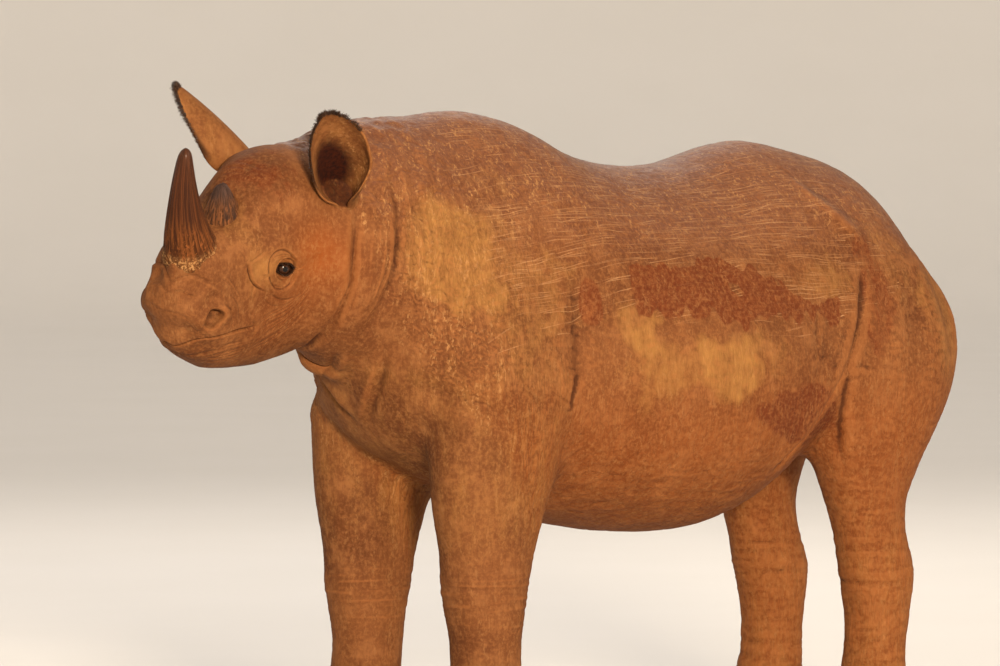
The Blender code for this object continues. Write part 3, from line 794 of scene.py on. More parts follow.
def nail_beds(form):
    """Sinks the skin that would cover a nail to just under it."""
    push = np.zeros(len(form.points))
    for name in NAILS:
        low, high = (np.array(corner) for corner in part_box(name))
        near = ((form.points > low - NAIL_MARGIN) & (form.points < high + NAIL_MARGIN)).all(1)
        mesh = NODES[name].data
        faces = [tuple(face.vertices) for face in mesh.polygons]
        tree = BVHTree.FromPolygons([point.co for point in mesh.vertices], faces)
        for i in np.nonzero(near)[0]:
            hit = tree.ray_cast(Vector(form.points[i]), Vector(-form.normals[i]), NAIL_PROBE)
            if hit[0] is not None and hit[1].dot(Vector(form.normals[i])) > 0:
                push[i] = hit[3] + NAIL_SINK
    form.waiting -= form.net.soften(push, 1)
    form.turn()


def wrinkles(form):
    """Creases that cover whole regions, by noise whose grain follows the skin."""
    points, ahead = form.points, form.place[:, 0]
    x, y, z = points.T
    on_body = step(ahead, 0.04, -0.06)
    amount = on_body * 0.0035 * layers(points, 0.16, 11, 2) + 0.0010 * layers(points, 0.045, 21, 2)
    neck = step(y, -0.36, -0.48) * step(ahead, 0.03, -0.03)
    neck *= step(z, 0.75, 0.90)
    amount += neck * 0.0045 * noise(points, (0.035, 0.030, 0.150), 31)
    low_neck = bell(z - 0.95, 0.20) * step(y, -0.25, -0.42)
    low_neck *= step(ahead, 0.05, -0.02)
    warped = points + 0.012 * np.stack([noise(points, 0.05, 41 + k) for k in range(3)], 1)
    slant = np.array([[0.8, 0.0, 0.6], [0.0, 1.0, 0.0], [-0.6, 0.0, 0.8]])
    hatch = bell(noise(warped @ slant, (0.022, 0.022, 0.010), 51), 0.20)
    hatch += 0.8 * bell(noise(warped @ slant.T, (0.012, 0.022, 0.030), 52), 0.20)
    amount -= 0.0011 * hatch * np.clip(low_neck + 0.35 * neck, 0, 1)
    legs = step(z, 0.72, 0.58)
    joints = bell(z - 0.41, 0.07) + bell(z - 0.17, 0.05)
    rings = noise(points, (0.20, 0.20, 0.020), 61) + 0.6 * noise(points, (0.12, 0.12, 0.010), 62)
    amount += legs * (0.0005 + 0.0017 * joints) * rings
    belly = on_body * step(z, 0.80, 0.66) * step(y, -0.20, 0.0)
    belly *= step(y, 0.85, 0.70) * step(np.abs(x), 0.10, 0.22)
    amount += belly * 0.0012 * noise(warped, (0.10, 0.10, 0.012), 63)
    hide = bell(noise(warped, (0.055, 0.055, 0.030), 71), 0.10) * on_body
    amount -= 0.0009 * hide
    form.waiting += amount
    form.turn()


# ---- where the skin is dusty, muddy or dark, and where light and shade are painted on it
# Patches on both flanks: place along the body and height, half sizes, raggedness, strength.
MUD_PATCHES = ((0.53, 0.800, 0.19, 0.075, 0.5, 0.9), (-0.085, 1.075, 0.030, 0.060, 0.5, 0.9),
               (0.80, 1.05, 0.06, 0.22, 0.7, 0.55))
DUST_PATCHES = (
    (-0.455, 1.185, 0.12, 0.15, 0.7, 0.9), (-0.30, 1.12, 0.18, 0.18, 0.9, 0.55),
    (0.150, 0.920, 0.20, 0.095, 1.0, 0.75), (0.02, 1.01, 0.07, 0.06, 0.9, 0.7),
    (0.33, 0.935, 0.17, 0.07, 1.0, 0.5), (0.62, 1.10, 0.10, 0.06, 0.9, 0.6),
    (1.05, 1.02, 0.09, 0.22, 0.5, 0.55), (0.88, 1.20, 0.08, 0.12, 0.8, 0.4),
)


def marks(form, on_ear):
    """Values at each point, which the skin's material reads by name; all but the curvature of the skin are
    from 0 to 1. Some are painted light: sky light on the top of the back, shade in hollows, in the ears and
    in the nostrils, and a highlight on ridges.
    """
    points, place, net = form.points, form.place, form.net
    y, z = points[:, 1], points[:, 2]
    body = step(place[:, 0], 0.02, -0.06)
    wide, mid = layers(points, 0.22, 101, 3), layers(points, 0.07, 102, 3)
    fine = layers(points, 0.022, 103, 2)

    def patch(along, height, long, high, rough):
        offset = np.hypot((y - along) / long, (z - height) / high)
        return step(offset + rough * wide + 0.5 * rough * mid, 1.25, 0.55) * body

    top = 1.155 - 0.085 * step(y, 0.28, 0.62) + 0.030 * noise(points, (0.5, 0.075, 0.5), 104)
    top += 0.012 * noise(points, (0.5, 0.022, 0.5), 105)
    low = 1.020 + 0.050 * noise(points, (0.5, 0.035, 0.5), 106) + 0.02 * noise(points, 0.03, 107)
    mud = step(z, low - 0.020, low + 0.035) * step(z, top + 0.004, top - 0.006)
    mud *= step(y, 0.00, 0.06) * step(y, 0.72, 0.62) * step(mid, -0.62, -0.40)
    for *where, amount in MUD_PATCHES:
        mud = np.maximum(mud, amount * patch(*where))
    dust = 0.45 * on_ear + 0.35 * step(z, 0.80, 0.45) * body
    for *where, amount in DUST_PATCHES:
        dust += amount * patch(*where)
    dust += 0.42 * step(z, 1.00, 0.90) * step(z, 0.42, 0.60) * step(y, -0.10, -0.20) * step(wide, -0.9, 0.1)
    brow = blob(place, (0.262, 0.0, 0.030), (0.050, 0.075, 0.060))
    face = blob(place, (0.250, 0.0, -0.060), (0.085, 0.4, 0.060))
    cheek = blob(place, (0.120, 0.0, -0.080), (0.070, 0.4, 0.070))
    dust = np.clip(dust, 0, 1) * (0.75 + 0.25 * fine) + 0.68 * face * (0.8 + 0.4 * mid) + 0.55 * brow
    glow = 0.9 * cheek + 0.4 * patch(1.13, 0.98, 0.07, 0.16, 0.7) + 0.45 * step(z, 0.98, 0.72) * body
    glow = glow + 0.30 * blob(place, (0.20, 0.0, -0.18), (0.14, 0.4, 0.10))
    # Painted sky light: upward-facing skin on the top of the back gets a paler, greyer tint, as if lit from
    # above.
    painted_sheen = step(form.normals[:, 2], 0.10, 0.75) * step(z, 1.10, 1.25) * body
    forehead = blob(place, (0.12, 0.0, 0.070), (0.11, 0.13, 0.080))
    mud = np.maximum(mud, 0.75 * forehead * step(mid, -0.7, 0.1))
    speckle = step(place[:, 0], 0.03, -0.03) * step(y, -0.25, -0.45)
    speckle = np.clip(speckle + 0.65 * step(z, 1.15, 1.32) * body + 0.30, 0, 1)
    scratched = body * step(z, 0.95, 1.12) * step(y, -0.42, -0.28) * step(y, 0.95, 0.70)
    scratched = scratched * (0.50 + 0.50 * step(wide, -0.35, 0.15))
    painted_ear_shade, dark = ear_marks(form, on_ear)
    for side in SIDES.values():
        centre, front, up, out = eye_frame(side)
        offset = place - centre
        rim = np.hypot((offset @ front) / EYE_OPENING[0], (offset @ up) / EYE_OPENING[1])
        dark = np.maximum(dark, 0.95 * step(rim, 1.38, 1.08) * (offset @ out > -0.01) * (rim < 2))
        # Painted shade in each nostril's pit, darkest towards the top, under its arch.
        nostril = (place * (1, side, 1) - NOSTRIL) / (NOSTRIL_LONG, 0.05, NOSTRIL_HIGH)
        pit = step(np.hypot(nostril[:, 0], nostril[:, 2]), 1.0, 0.75) * (np.abs(nostril[:, 1]) < 1)
        dark = np.maximum(dark, 0.75 * pit * step(nostril[:, 2], -1.0, 0.2))
    lined = body * (0.50 + 0.25 * step(z, 0.95, 0.80) + 0.50 * step(y, -0.12, -0.30) * step(z, 1.36, 1.22))
    on_head = 0.18 + 0.30 * step(place[:, 2], -0.10, -0.20) + 0.35 * step(place[:, 0], 0.30, 0.38)
    lined = (lined + (1 - body) * on_head) * (0.75 + 0.25 * mid)
    # Curvature of the skin: positive in hollows, where the material paints shade, and negative on ridges,
    # where it paints a highlight.
    small = net.soften(points, 3)
    large = net.soften(small, 16)
    hollow = ((small - points) * form.normals).sum(1)
    hollow = hollow / 0.00035 + ((large - points) * form.normals).sum(1) / 0.0022
    painted_crease_shade_and_ridge_light = np.clip(net.soften(hollow, 1), -1.5, 2.5)
    return {
        "mud": mud, "dust": dust, "glow": glow, "painted_sheen": painted_sheen, "speckle": speckle,
        "scratched": scratched, "painted_crease_shade_and_ridge_light": painted_crease_shade_and_ridge_light, "painted_ear_shade": painted_ear_shade, "dark": dark,
        "wide": step(wide + 0.4 * mid, -0.45, 0.45), "blotch": step(mid + 0.7 * fine, -0.1, 0.7),
        "lined": lined,
    }


def ear_marks(form, on_ear):
    """How deep inside an ear each point is, for the shade painted in its hollow, and how near the black edge
    of one, which is partly painted shadow along the lower rear rim.
    """
    inside, edge = np.zeros(len(form.points)), np.zeros(len(form.points))
    for which, side in SIDES.items():
        seat, tipward, opening, across = ear_axes(which)
        offset = form.place - seat
        share = (offset @ tipward + EAR_ROOT) / (EAR_LENGTH + EAR_ROOT)
        shares, halves, angles = np.array(EAR_SHAPE).T
        angle = np.interp(share, shares, angles)
        radius = np.interp(share, shares, halves) / angle
        base = offset - tipward * (offset @ tipward)[:, None] - opening * (EAR_CURL * share**2)[:, None]
        aside = base @ across * side
        depth = base @ opening
        turn = np.arctan2(aside, radius - depth) / angle
        to_axis = (opening * (radius - depth)[:, None] - across * (base @ across)[:, None]) @ AXES
        facing = np.einsum("ij,ij->i", to_axis, form.normals) > 0
        mine = on_ear & (side * form.place[:, 1] > 0)
        # The hollow of the ear's cup, where shade is painted.
        hollow = np.exp(-((turn + 0.14) / 0.56) ** 2 - ((share - 0.40) / 0.36) ** 2)
        inside += mine * facing * step(hollow, 0.25, 0.75)
        # The head's skin inside the tube at the ear's root, also painted as shade.
        plug = ~on_ear & (np.hypot(aside, radius - depth) < 0.86 * radius) & (np.abs(share - 0.1) < 0.30)
        inside += 0.8 * plug
        edge += mine * 0.9 * step(np.abs(turn), 0.84, 0.97) * np.where(
            turn < 0, step(share, 0.30, 0.50), step(share, 0.72, 0.86))
        edge += mine * 0.9 * step(share, 0.965, 0.99)
        # Dark lower rear rim on the outer face: black hair, with painted shadow where the rim meets the
        # neck.
        edge += mine * 0.8 * ~facing * step(turn, 0.74, 0.95) * bell(share - 0.28, 0.20)
    return form.net.soften(np.clip(inside, 0, 1), 3), form.net.soften(np.clip(edge, 0, 1), 1)


def store(mesh, values):
    for name, value in values.items():
        made = mesh.attributes.new(name, "FLOAT", "POINT")
        made.data.foreach_set("value", np.ascontiguousarray(value, np.float32))


# ---- materials
class Graph:
    """Builds a node tree from short calls, each of which gives the socket that it makes."""

    def __init__(self, tree):
        self.tree = tree

    def give(self, socket, value):
        if isinstance(value, bpy.types.NodeSocket):
            self.tree.links.new(value, socket)
        elif isinstance(value, (tuple, list)) and len(value) == 3 and socket.type == "RGBA":
            socket.default_value = (*value, 1)
        else:
            socket.default_value = value

    def add(self, kind, inputs=(), out=0, **settings):
        node = self.tree.nodes.new("ShaderNode" + kind)
        for key, value in settings.items():
            setattr(node, key, value)
        pairs = inputs.items() if isinstance(inputs, dict) else enumerate(inputs)
        for key, value in pairs:
            self.give(node.inputs[key], value)
        return node.outputs[out]

    def math(self, operation, a, b=0.0):
        return self.add("Math", (a, b), operation=operation)

    def times(self, a, b):
        return self.math("MULTIPLY", a, b)

    def plus(self, a, b):
        return self.math("ADD", a, b)

    def minus(self, a, b):
        return self.math("SUBTRACT", a, b)

    def spread(self, value, low, high, first=0.0, last=1.0):
        return self.add("MapRange", (value, low, high, first, last), interpolation_type="SMOOTHSTEP")

    def mix(self, share, a, b):
        return self.add("Mix", {0: share, 6: a, 7: b}, 2, data_type="RGBA")

    def noise(self, vector, scale, detail=2.0, rough=0.5, warp=0.0):
        inputs = {"Vector": vector, "Scale": scale, "Detail": detail, "Roughness": rough, "Distortion": warp}
        return self.add("TexNoise", inputs)

    def turned(self, vector, scale=(1, 1, 1), turn=(0, 0, 0), shift=(0, 0, 0)):
        inputs = {"Vector": vector, "Scale": scale, "Rotation": turn, "Location": shift}
        return self.add("Mapping", inputs)

    def attribute(self, name):
        return self.add("Attribute", attribute_name=name, out=2)

    def place(self):
        return self.add("TexCoord", out=3)


def group(name, inputs, outputs, build):
    """A shader node group that is built once; inputs have a type and a value each."""
    tree = bpy.data.node_groups.new(name, "ShaderNodeTree")
    for label, (kind, value) in inputs.items():
        socket = tree.interface.new_socket(label, in_out="INPUT", socket_type="NodeSocket" + kind)
        if value is not None:
            socket.default_value = value
    for label, kind in outputs.items():
        tree.interface.new_socket(label, in_out="OUTPUT", socket_type="NodeSocket" + kind)
    entry = tree.nodes.new("NodeGroupInput")
    leave = tree.nodes.new("NodeGroupOutput")
    made = build(Graph(tree), {socket.name: socket for socket in entry.outputs if socket.name})
    for label, value in made.items():
        tree.links.new(value, leave.inputs[label])
    return tree


# Sets of scratches: turn, cells to a metre, seed; and their half widths within a cell.
SCRATCH_SETS = (
    (0.08, 9.0, 3.1), (-0.22, 11.5, 7.7), (0.36, 10.0, 12.4), (-0.60, 12.5, 21.9), (0.02, 15.0, 33.3),
)
SCRATCH_EDGE = 0.0034
SCRATCH_CORE = 0.0008


def scratches_group():
    """Thin pale lines, each in a cell of its own, lying mostly along the body."""
    def build(graph, given):
        total = None
        swing = graph.add("TexNoise", {"Vector": given["Place"], "Scale": 5.0, "Detail": 2.0}, 1)
        bend = graph.add("VectorMath", (swing, (0.035, 0.035, 0.0)), operation="MULTIPLY")
        bent = graph.add("VectorMath", (given["Place"], bend), operation="ADD")
        uneven = graph.spread(graph.noise(given["Place"], 13.0, 2.0), 0.34, 0.60)
        for turn, scale, seed in SCRATCH_SETS:
            spun = graph.turned(bent, (0.40, 2.7, 1.0), (0, 0, turn), (seed, seed * 0.7, 0))
            cell = graph.add("TexVoronoi", {"Vector": spun, "Scale": scale}, voronoi_dimensions="2D")
            cell = cell.node.outputs
            apart = graph.add("VectorMath", (spun, cell["Position"]), operation="SUBTRACT")
            chance = graph.add("SeparateColor", (cell["Color"],)).node.outputs
            angle = graph.times(graph.minus(chance[0], 0.5), 1.2)
            turned = graph.add("VectorRotate", {"Vector": apart, "Axis": (0, 0, 1), "Angle": angle})
            away = graph.math("ABSOLUTE", graph.add("SeparateXYZ", (turned,), 1))
            line = graph.spread(away, SCRATCH_EDGE, SCRATCH_CORE)
            kept = graph.math("GREATER_THAN", given["Amount"], graph.times(chance[0], 1.1))
            line = graph.times(graph.times(line, kept), graph.plus(0.25, chance[1]))
            total = line if total is None else graph.math("MAXIMUM", total, line)
        return {"Lines": graph.times(total, uneven)}
    inputs = {"Place": ("Vector", None), "Amount": ("Float", 0.5)}
    return group("scratches", inputs, {"Lines": "Float"}, build)


def hide_group():
    """Fine wrinkles that cross each other, as a height and as painted shade along their valleys for their
    colour.
    """
    def build(graph, given):
        total = None
        for turn, share, seed in ((0.85, 1.0, 0.0), (-0.75, 0.83, 5.0)):
            spun = graph.turned(given["Place"], (1.0, 1.0, 0.26), (turn, 0, 0), (seed, seed, seed))
            field = graph.noise(spun, graph.times(given["Scale"], share), 1.0, 0.5, 0.6)
            away = graph.math("ABSOLUTE", graph.minus(field, 0.5))
            line = graph.spread(away, 0.0, 0.075)
            total = line if total is None else graph.math("MINIMUM", total, line)
        specks = graph.noise(given["Place"], graph.times(given["Scale"], 1.7), 3.0, 0.65)
        lined = graph.times(graph.times(total, given["Lined"]), 0.55)
        return {"Height": graph.plus(lined, graph.times(specks, 0.55)),
                "CrackShade": graph.times(graph.spread(total, 0.85, 0.0), given["Lined"]),
                "Specks": specks}
    inputs = {"Place": ("Vector", None), "Scale": ("Float", 120.0), "Lined": ("Float", 1.0)}
    return group("hide", inputs, {"Height": "Float", "CrackShade": "Float", "Specks": "Float"}, build)


def material(name, **fixed):
    """New material; fixed gives the numbers that are the same all over, on the shader's own sockets."""
    made = bpy.data.materials.new(name)
    made.use_nodes = True
    shader = made.node_tree.nodes["Principled BSDF"]
    for label, value in fixed.items():
        shader.inputs[label.replace("_", " ")].default_value = value
    return made, Graph(made.node_tree), shader


def finish(graph, shader, colour, rough, height=None, strength=1.0, distance=0.001):
    graph.give(shader.inputs["Base Color"], colour)
    if rough is not None:
        graph.give(shader.inputs["Roughness"], rough)
    if height is not None:
        inputs = {"Height": height, "Strength": strength, "Distance": distance}
        graph.give(shader.inputs["Normal"], graph.add("Bump", inputs))


def skin_material():
    made, graph, shader = material("hide of the rhinoceros", Specular_IOR_Level=0.12)
    times, spread = graph.times, graph.spread
    place = graph.place()
    value = {name: graph.attribute(name) for name in (
        "mud", "dust", "glow", "painted_sheen", "speckle", "scratched", "painted_crease_shade_and_ridge_light", "painted_ear_shade", "dark", "wide", "blotch",
        "lined")}
    inputs = {"Place": place, "Scale": 66.0, "Lined": value["lined"]}
    hide = graph.add("Group", inputs, node_tree=GROUPS["hide"]).node.outputs
    fine = hide["Specks"]
    streak = graph.noise(graph.turned(place, (1, 1, 0.22)), 42.0, 3.0, 0.65)
    grain = graph.noise(graph.turned(place, (1, 1, 0.55)), 140.0, 2.0, 0.7)
    rough_edge = graph.plus(times(streak, 0.75), times(fine, 0.35))
    painted_sheen = times(value["painted_sheen"], spread(streak, 0.30, 0.60, 0.60, 1.0))
    worn = spread(graph.plus(value["dust"], rough_edge), 0.60, 1.75)
    wet = spread(graph.plus(value["mud"], rough_edge), 0.92, 1.16)
    spots = times(spread(grain, 0.50, 0.66), spread(streak, 0.42, 0.60))
    parts = graph.add("SeparateXYZ", (place,)).node.outputs
    flat = graph.add("CombineXYZ", (parts[1], graph.minus(parts[2], graph.math("ABSOLUTE", parts[0])), 0.0))
    lines = graph.add("Group", {"Place": flat, "Amount": value["scratched"]}, node_tree=GROUPS["scratches"])
    # Near-black tones for the shade painted inside the ears.
    ear_shade_colour = graph.mix(spread(fine, 0.3, 0.7), (0.010, 0.002, 0.001), (0.035, 0.006, 0.001))
    colour = graph.mix(value["wide"], (0.088, 0.027, 0.0075), (0.135, 0.046, 0.0135))
    for share, tint in (
        (times(value["blotch"], 0.65), (0.200, 0.078, 0.026)),
        # Painted sky light on the top of the back.
        (painted_sheen, (0.128, 0.048, 0.024)),
        (times(value["glow"], 0.80), (0.214, 0.049, 0.006)),
        (times(worn, 0.90), (0.300, 0.142, 0.037)),
        (times(wet, 0.92), (0.094, 0.019, 0.0042)),
        (times(spots, value["speckle"]), (0.300, 0.145, 0.052)),
        (times(lines, graph.minus(0.78, times(wet, 0.66))), (0.330, 0.170, 0.076)),
        # Painted shade in the valleys of the fine wrinkles.
        (times(hide["CrackShade"], 0.34), (0.042, 0.010, 0.002)),
        (spread(fine, 0.40, 0.68, 0.0, 0.40), (0.230, 0.090, 0.028)),
        # Painted shade in hollows and folds.
        (spread(value["painted_crease_shade_and_ridge_light"], 0.20, 2.5, 0.0, 0.72), (0.025, 0.005, 0.001)),
        # Painted highlight on ridges.
        (spread(value["painted_crease_shade_and_ridge_light"], -0.15, -1.0, 0.0, 0.30), (0.278, 0.100, 0.029)),
        # Painted shade inside the ears' cups and in the tubes at their roots.
        (value["painted_ear_shade"], ear_shade_colour),
        # Near-black: the black edges of the ears and the lid rims, the painted shade in the nostrils, and
        # the painted shadow along the ears' lower rear rims.
        (value["dark"], (0.010, 0.003, 0.001)),
    ):
        colour = graph.mix(share, colour, tint)
    rough = spread(graph.plus(painted_sheen, times(fine, 0.4)), 0.3, 1.1, 0.80, 0.52)
    finish(graph, shader, colour, rough, hide["Height"], 0.8, 0.0022)
    return made


def shade(colour, by):
    return tuple(min(1.0, v * by) for v in colour)


def horn_material(name, base, tip, span, gloss):
    """Dark fibrous horn; its root is flaky and pale, and its tip is worn smooth."""
    made, graph, shader = material(name, Specular_IOR_Level=0.10, Coat_Roughness=0.22)
    times, spread, rise = graph.times, graph.spread, graph.attribute("rise")
    place = graph.place()

    def around(stretch):
        return graph.add("CombineXYZ", (
            graph.attribute("turn_x"), graph.attribute("turn_y"), times(rise, stretch)))

    fibre = graph.noise(around(0.30), 8.0, 5.0, 0.72, 0.25)
    flakes = graph.noise(graph.turned(place, (1.0, 1.0, 0.45)), 115.0, 4.0, 0.7, 0.6)
    patches = graph.noise(around(1.1), 3.2, 4.0, 0.7, 0.8)
    crumbs = graph.noise(place, 190.0, 2.0, 0.7)
    upper = spread(graph.plus(rise, times(flakes, 0.26)), *span)
    crust = spread(graph.plus(rise, times(flakes, 0.20)), 0.25, 0.19)
    colour = graph.mix(spread(fibre, 0.40, 0.62), tip, shade(tip, 2.6))
    rusty = graph.mix(spread(fibre, 0.36, 0.62), shade(base, 0.25), base)
    rusty = graph.mix(spread(flakes, 0.50, 0.64, 0.0, 0.7), rusty, shade(base, 1.5))
    rusty = graph.mix(spread(patches, 0.50, 0.58, 0.0, 0.75), rusty, tip)
    colour = graph.mix(upper, rusty, colour)
    pale = graph.mix(spread(crumbs, 0.42, 0.60), (0.095, 0.034, 0.010), (0.36, 0.185, 0.070))
    colour = graph.mix(times(crust, spread(flakes, 0.44, 0.54, 0.25, 0.95)), colour, pale)
    shine = graph.minus(rise, times(fibre, 0.9))
    graph.give(shader.inputs["Coat Weight"], spread(shine, 0.15, 0.60, 0.0, 0.16 * gloss))
    height = graph.plus(times(fibre, 1.4), times(flakes, spread(rise, 0.55, 0.15)))
    finish(graph, shader, colour, spread(shine, -0.25, 0.55, 0.90, 0.62 - 0.30 * gloss), height, 0.8, 0.0026)
    return made


def eye_material():
    """Near-black pupil in a dark brown iris, by the distance from the middle of the front."""
    made, graph, shader = material(
        "eye", Roughness=0.10, Specular_IOR_Level=0.20, Coat_Weight=0.12, Coat_Roughness=0.02)
    ring = graph.attribute("from_front")
    rays = graph.add("CombineXYZ", (graph.attribute("turn_x"), graph.attribute("turn_y"), 0.0))
    rays = graph.spread(graph.noise(rays, 9.0, 3.0), 0.3, 0.7)
    iris = graph.mix(rays, (0.012, 0.004, 0.002), (0.045, 0.015, 0.005))
    colour = graph.mix(graph.spread(ring, 0.26, 0.32), (0.003, 0.002, 0.002), iris)
    colour = graph.mix(graph.spread(ring, 0.62, 0.70), colour, (0.012, 0.006, 0.004))
    colour = graph.mix(graph.spread(ring, 0.80, 1.05), colour, (0.070, 0.028, 0.014))
    finish(graph, shader, colour, None)
    return made


def nail_material():
    made, graph, shader = material("toenail")
    lines = graph.noise(graph.turned(graph.place(), (1, 1, 0.10)), 120.0, 3.0, 0.6)
    bands = graph.noise(graph.turned(graph.place(), (0.2, 0.2, 1)), 90.0, 2.0, 0.6)
    colour = graph.mix(graph.spread(lines, 0.35, 0.65), (0.055, 0.034, 0.024), (0.16, 0.095, 0.060))
    colour = graph.mix(graph.spread(bands, 0.50, 0.70, 0.0, 0.6), colour, (0.26, 0.155, 0.085))
    rough = graph.spread(lines, 0.3, 0.7, 0.38, 0.62)
    finish(graph, shader, colour, rough, graph.plus(lines, bands), 0.5, 0.0015)
    return made


def hair_material():
    made, graph, shader = material("bristles")
    tone = graph.attribute("tone")
    fade = graph.spread(graph.noise(graph.place(), 60.0, 2.0), 0.35, 0.65)
    colour = graph.mix(fade, (0.007, 0.004, 0.003), (0.030, 0.014, 0.008))
    colour = graph.mix(tone, colour, (0.16, 0.065, 0.025))
    finish(graph, shader, colour, graph.spread(tone, 0.0, 1.0, 0.38, 0.65))
    return made


# ---- horns, eyes and nails
HORN_LEAN = 0.010
HORN_BOW = 0.060
HORN_ROOT = 0.028
# Each horn: seat, length, half length and half width of its base, and its profile.
HORNS = {
    "front": ((0.368, 0.0, 0.036), 0.252, 0.062, 0.060, (
        (0.00, 1.00), (0.08, 0.95), (0.21, 0.86), (0.35, 0.73), (0.50, 0.60), (0.64, 0.49), (0.78, 0.385),
        (0.89, 0.305), (0.95, 0.240), (0.985, 0.14), (1.00, 0.02))),
    "rear": ((0.252, 0.0, 0.036), 0.088, 0.056, 0.050, (
        (0.00, 1.00), (0.25, 0.86), (0.50, 0.66), (0.72, 0.47), (0.88, 0.34), (0.97, 0.20), (1.00, 0.02))),
}


def horn(which, made_of):
    """Horn with fibres that stand out in ridges, and a frayed flaring root."""
    seat, length, half_length, half_width, profile = HORNS[which]
    rows, columns = (120, 112) if which == "front" else (64, 96)
    shares = np.linspace(0, 1, rows) ** 0.9
    sizes = np.interp(shares, *np.array(profile).T)
    for _ in range(4):
        sizes[1:-1] = (sizes[:-2] + 2 * sizes[1:-1] + sizes[2:]) / 4
    turn = 2 * math.pi * np.arange(columns) / columns
    share, angle = np.meshgrid(shares, turn, indexing="ij")
    size = np.repeat(sizes[:, None], columns, 1)
    cos, sin = np.cos(angle), np.sin(angle)
    ring = np.stack([cos.ravel(), sin.ravel(), share.ravel() * 0.35], 1)
    fibre = noise(ring, (0.10, 0.10, 0.6), 201) + 0.6 * noise(ring, (0.045, 0.045, 0.3), 202)
    fibre, lump = (values.reshape(rows, columns) for values in (fibre, layers(ring, 0.5, 203, 2)))
    frayed = step(share, 0.22, 0.02)
    grooves = 0.0009 * fibre * step(share, 0.97, 0.75) + 0.0018 * lump * size
    if which == "rear":
        ring[:, 2] *= 3.0
        grooves = 0.0050 * lump + 0.0035 * layers(ring, 0.30, 205, 3).reshape(rows, columns)
    grooves += frayed * 0.0028 * np.abs(noise(ring, (0.09, 0.09, 0.05), 204).reshape(rows, columns))
    flare, back = 0.006 * frayed**2, HORN_LEAN * share**1.6
    if which == "front":
        flare = flare + 0.010 * step(share, 0.34, 0.0) * np.maximum(-cos, 0)**2
        back = back - HORN_BOW * share * (1 - share)
    rise = share * length - HORN_ROOT * (1 - share)
    along = seat[0] - back + (half_length * size + grooves + flare) * cos
    across = (half_width * size + grooves + flare * 0.6) * sin
    height = seat[2] + rise - 0.004 * frayed * (1 - cos * 0.4)
    points = from_head(np.stack([along, across, height], 2).reshape(-1, 3))
    mesh = capped_net("horn", points, rows, columns)
    store(mesh, {"rise": share.ravel(), "turn_x": cos.ravel(), "turn_y": sin.ravel()})
    finish_piece(new_object("horn_" + which + "_piece", mesh), made_of, "horn", "horn_" + which)


def finish_piece(piece, made_of, slot, *nodes):
    outward(piece.data)
    piece.data.shade_smooth()
    piece.data.materials.append(made_of)
    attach(piece, ROOT)
    if nodes:
        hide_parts(*nodes)


def eyeball(which, made_of):
    """Ball with a low clear bulge in front of its iris."""
    side = SIDES[which]
    centre, front, up, out = eye_frame(side)
    rows, columns = 40, 56
    fall = math.pi * (np.arange(rows) + 0.5) / rows
    turn = 2 * math.pi * np.arange(columns) / columns
    fall, turn = np.meshgrid(fall, turn, indexing="ij")
    radius = EYE_RADIUS * (1 + 0.045 * bell(fall, 0.48))
    offset = np.sin(fall)[..., None] * (np.cos(turn)[..., None] * front + np.sin(turn)[..., None] * up)
    offset = (offset + np.cos(fall)[..., None] * out) * radius[..., None]
    points = from_head((centre + offset).reshape(-1, 3))
    mesh = capped_net("eyeball", points, rows, columns)
    spread = np.sin(np.minimum(fall, math.pi / 2))
    store(mesh, {"from_front": fall.ravel(), "turn_x": (np.cos(turn) * spread).ravel(),
                 "turn_y": (np.sin(turn) * spread).ravel()})
    finish_piece(new_object("eyeball_" + which, mesh), made_of, "eye", "eye_" + which)


def nail(node, made_of):
    """Smooth ridged nail in the space of its node."""
    mesh = NODES[node].data.copy()
    piece = new_object(node + "_piece", mesh)
    fuse = piece.modifiers.new("fuse", "REMESH")
    fuse.mode = "VOXEL"
    fuse.voxel_size = 0.0026
    mesh = applied(piece)
    net = Net(mesh)
    points = net.fair(points_of(mesh), 14)
    low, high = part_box(node)
    centre = np.array((low + high) / 2)
    normals = normals_of(mesh, points)
    worn = noise(points, (0.02, 0.02, 0.004), 301) * 0.0004 + noise(points, 0.012, 302) * 0.0007
    edge = step(points[:, 2], centre[2], float(low[2]))
    points += normals * (worn + 0.0008 * edge)[:, None]
    points[:, 2] = np.maximum(points[:, 2], 0.0015)
    set_points(mesh, points)
    mesh.materials.clear()
    finish_piece(piece, made_of, "toenail", node)


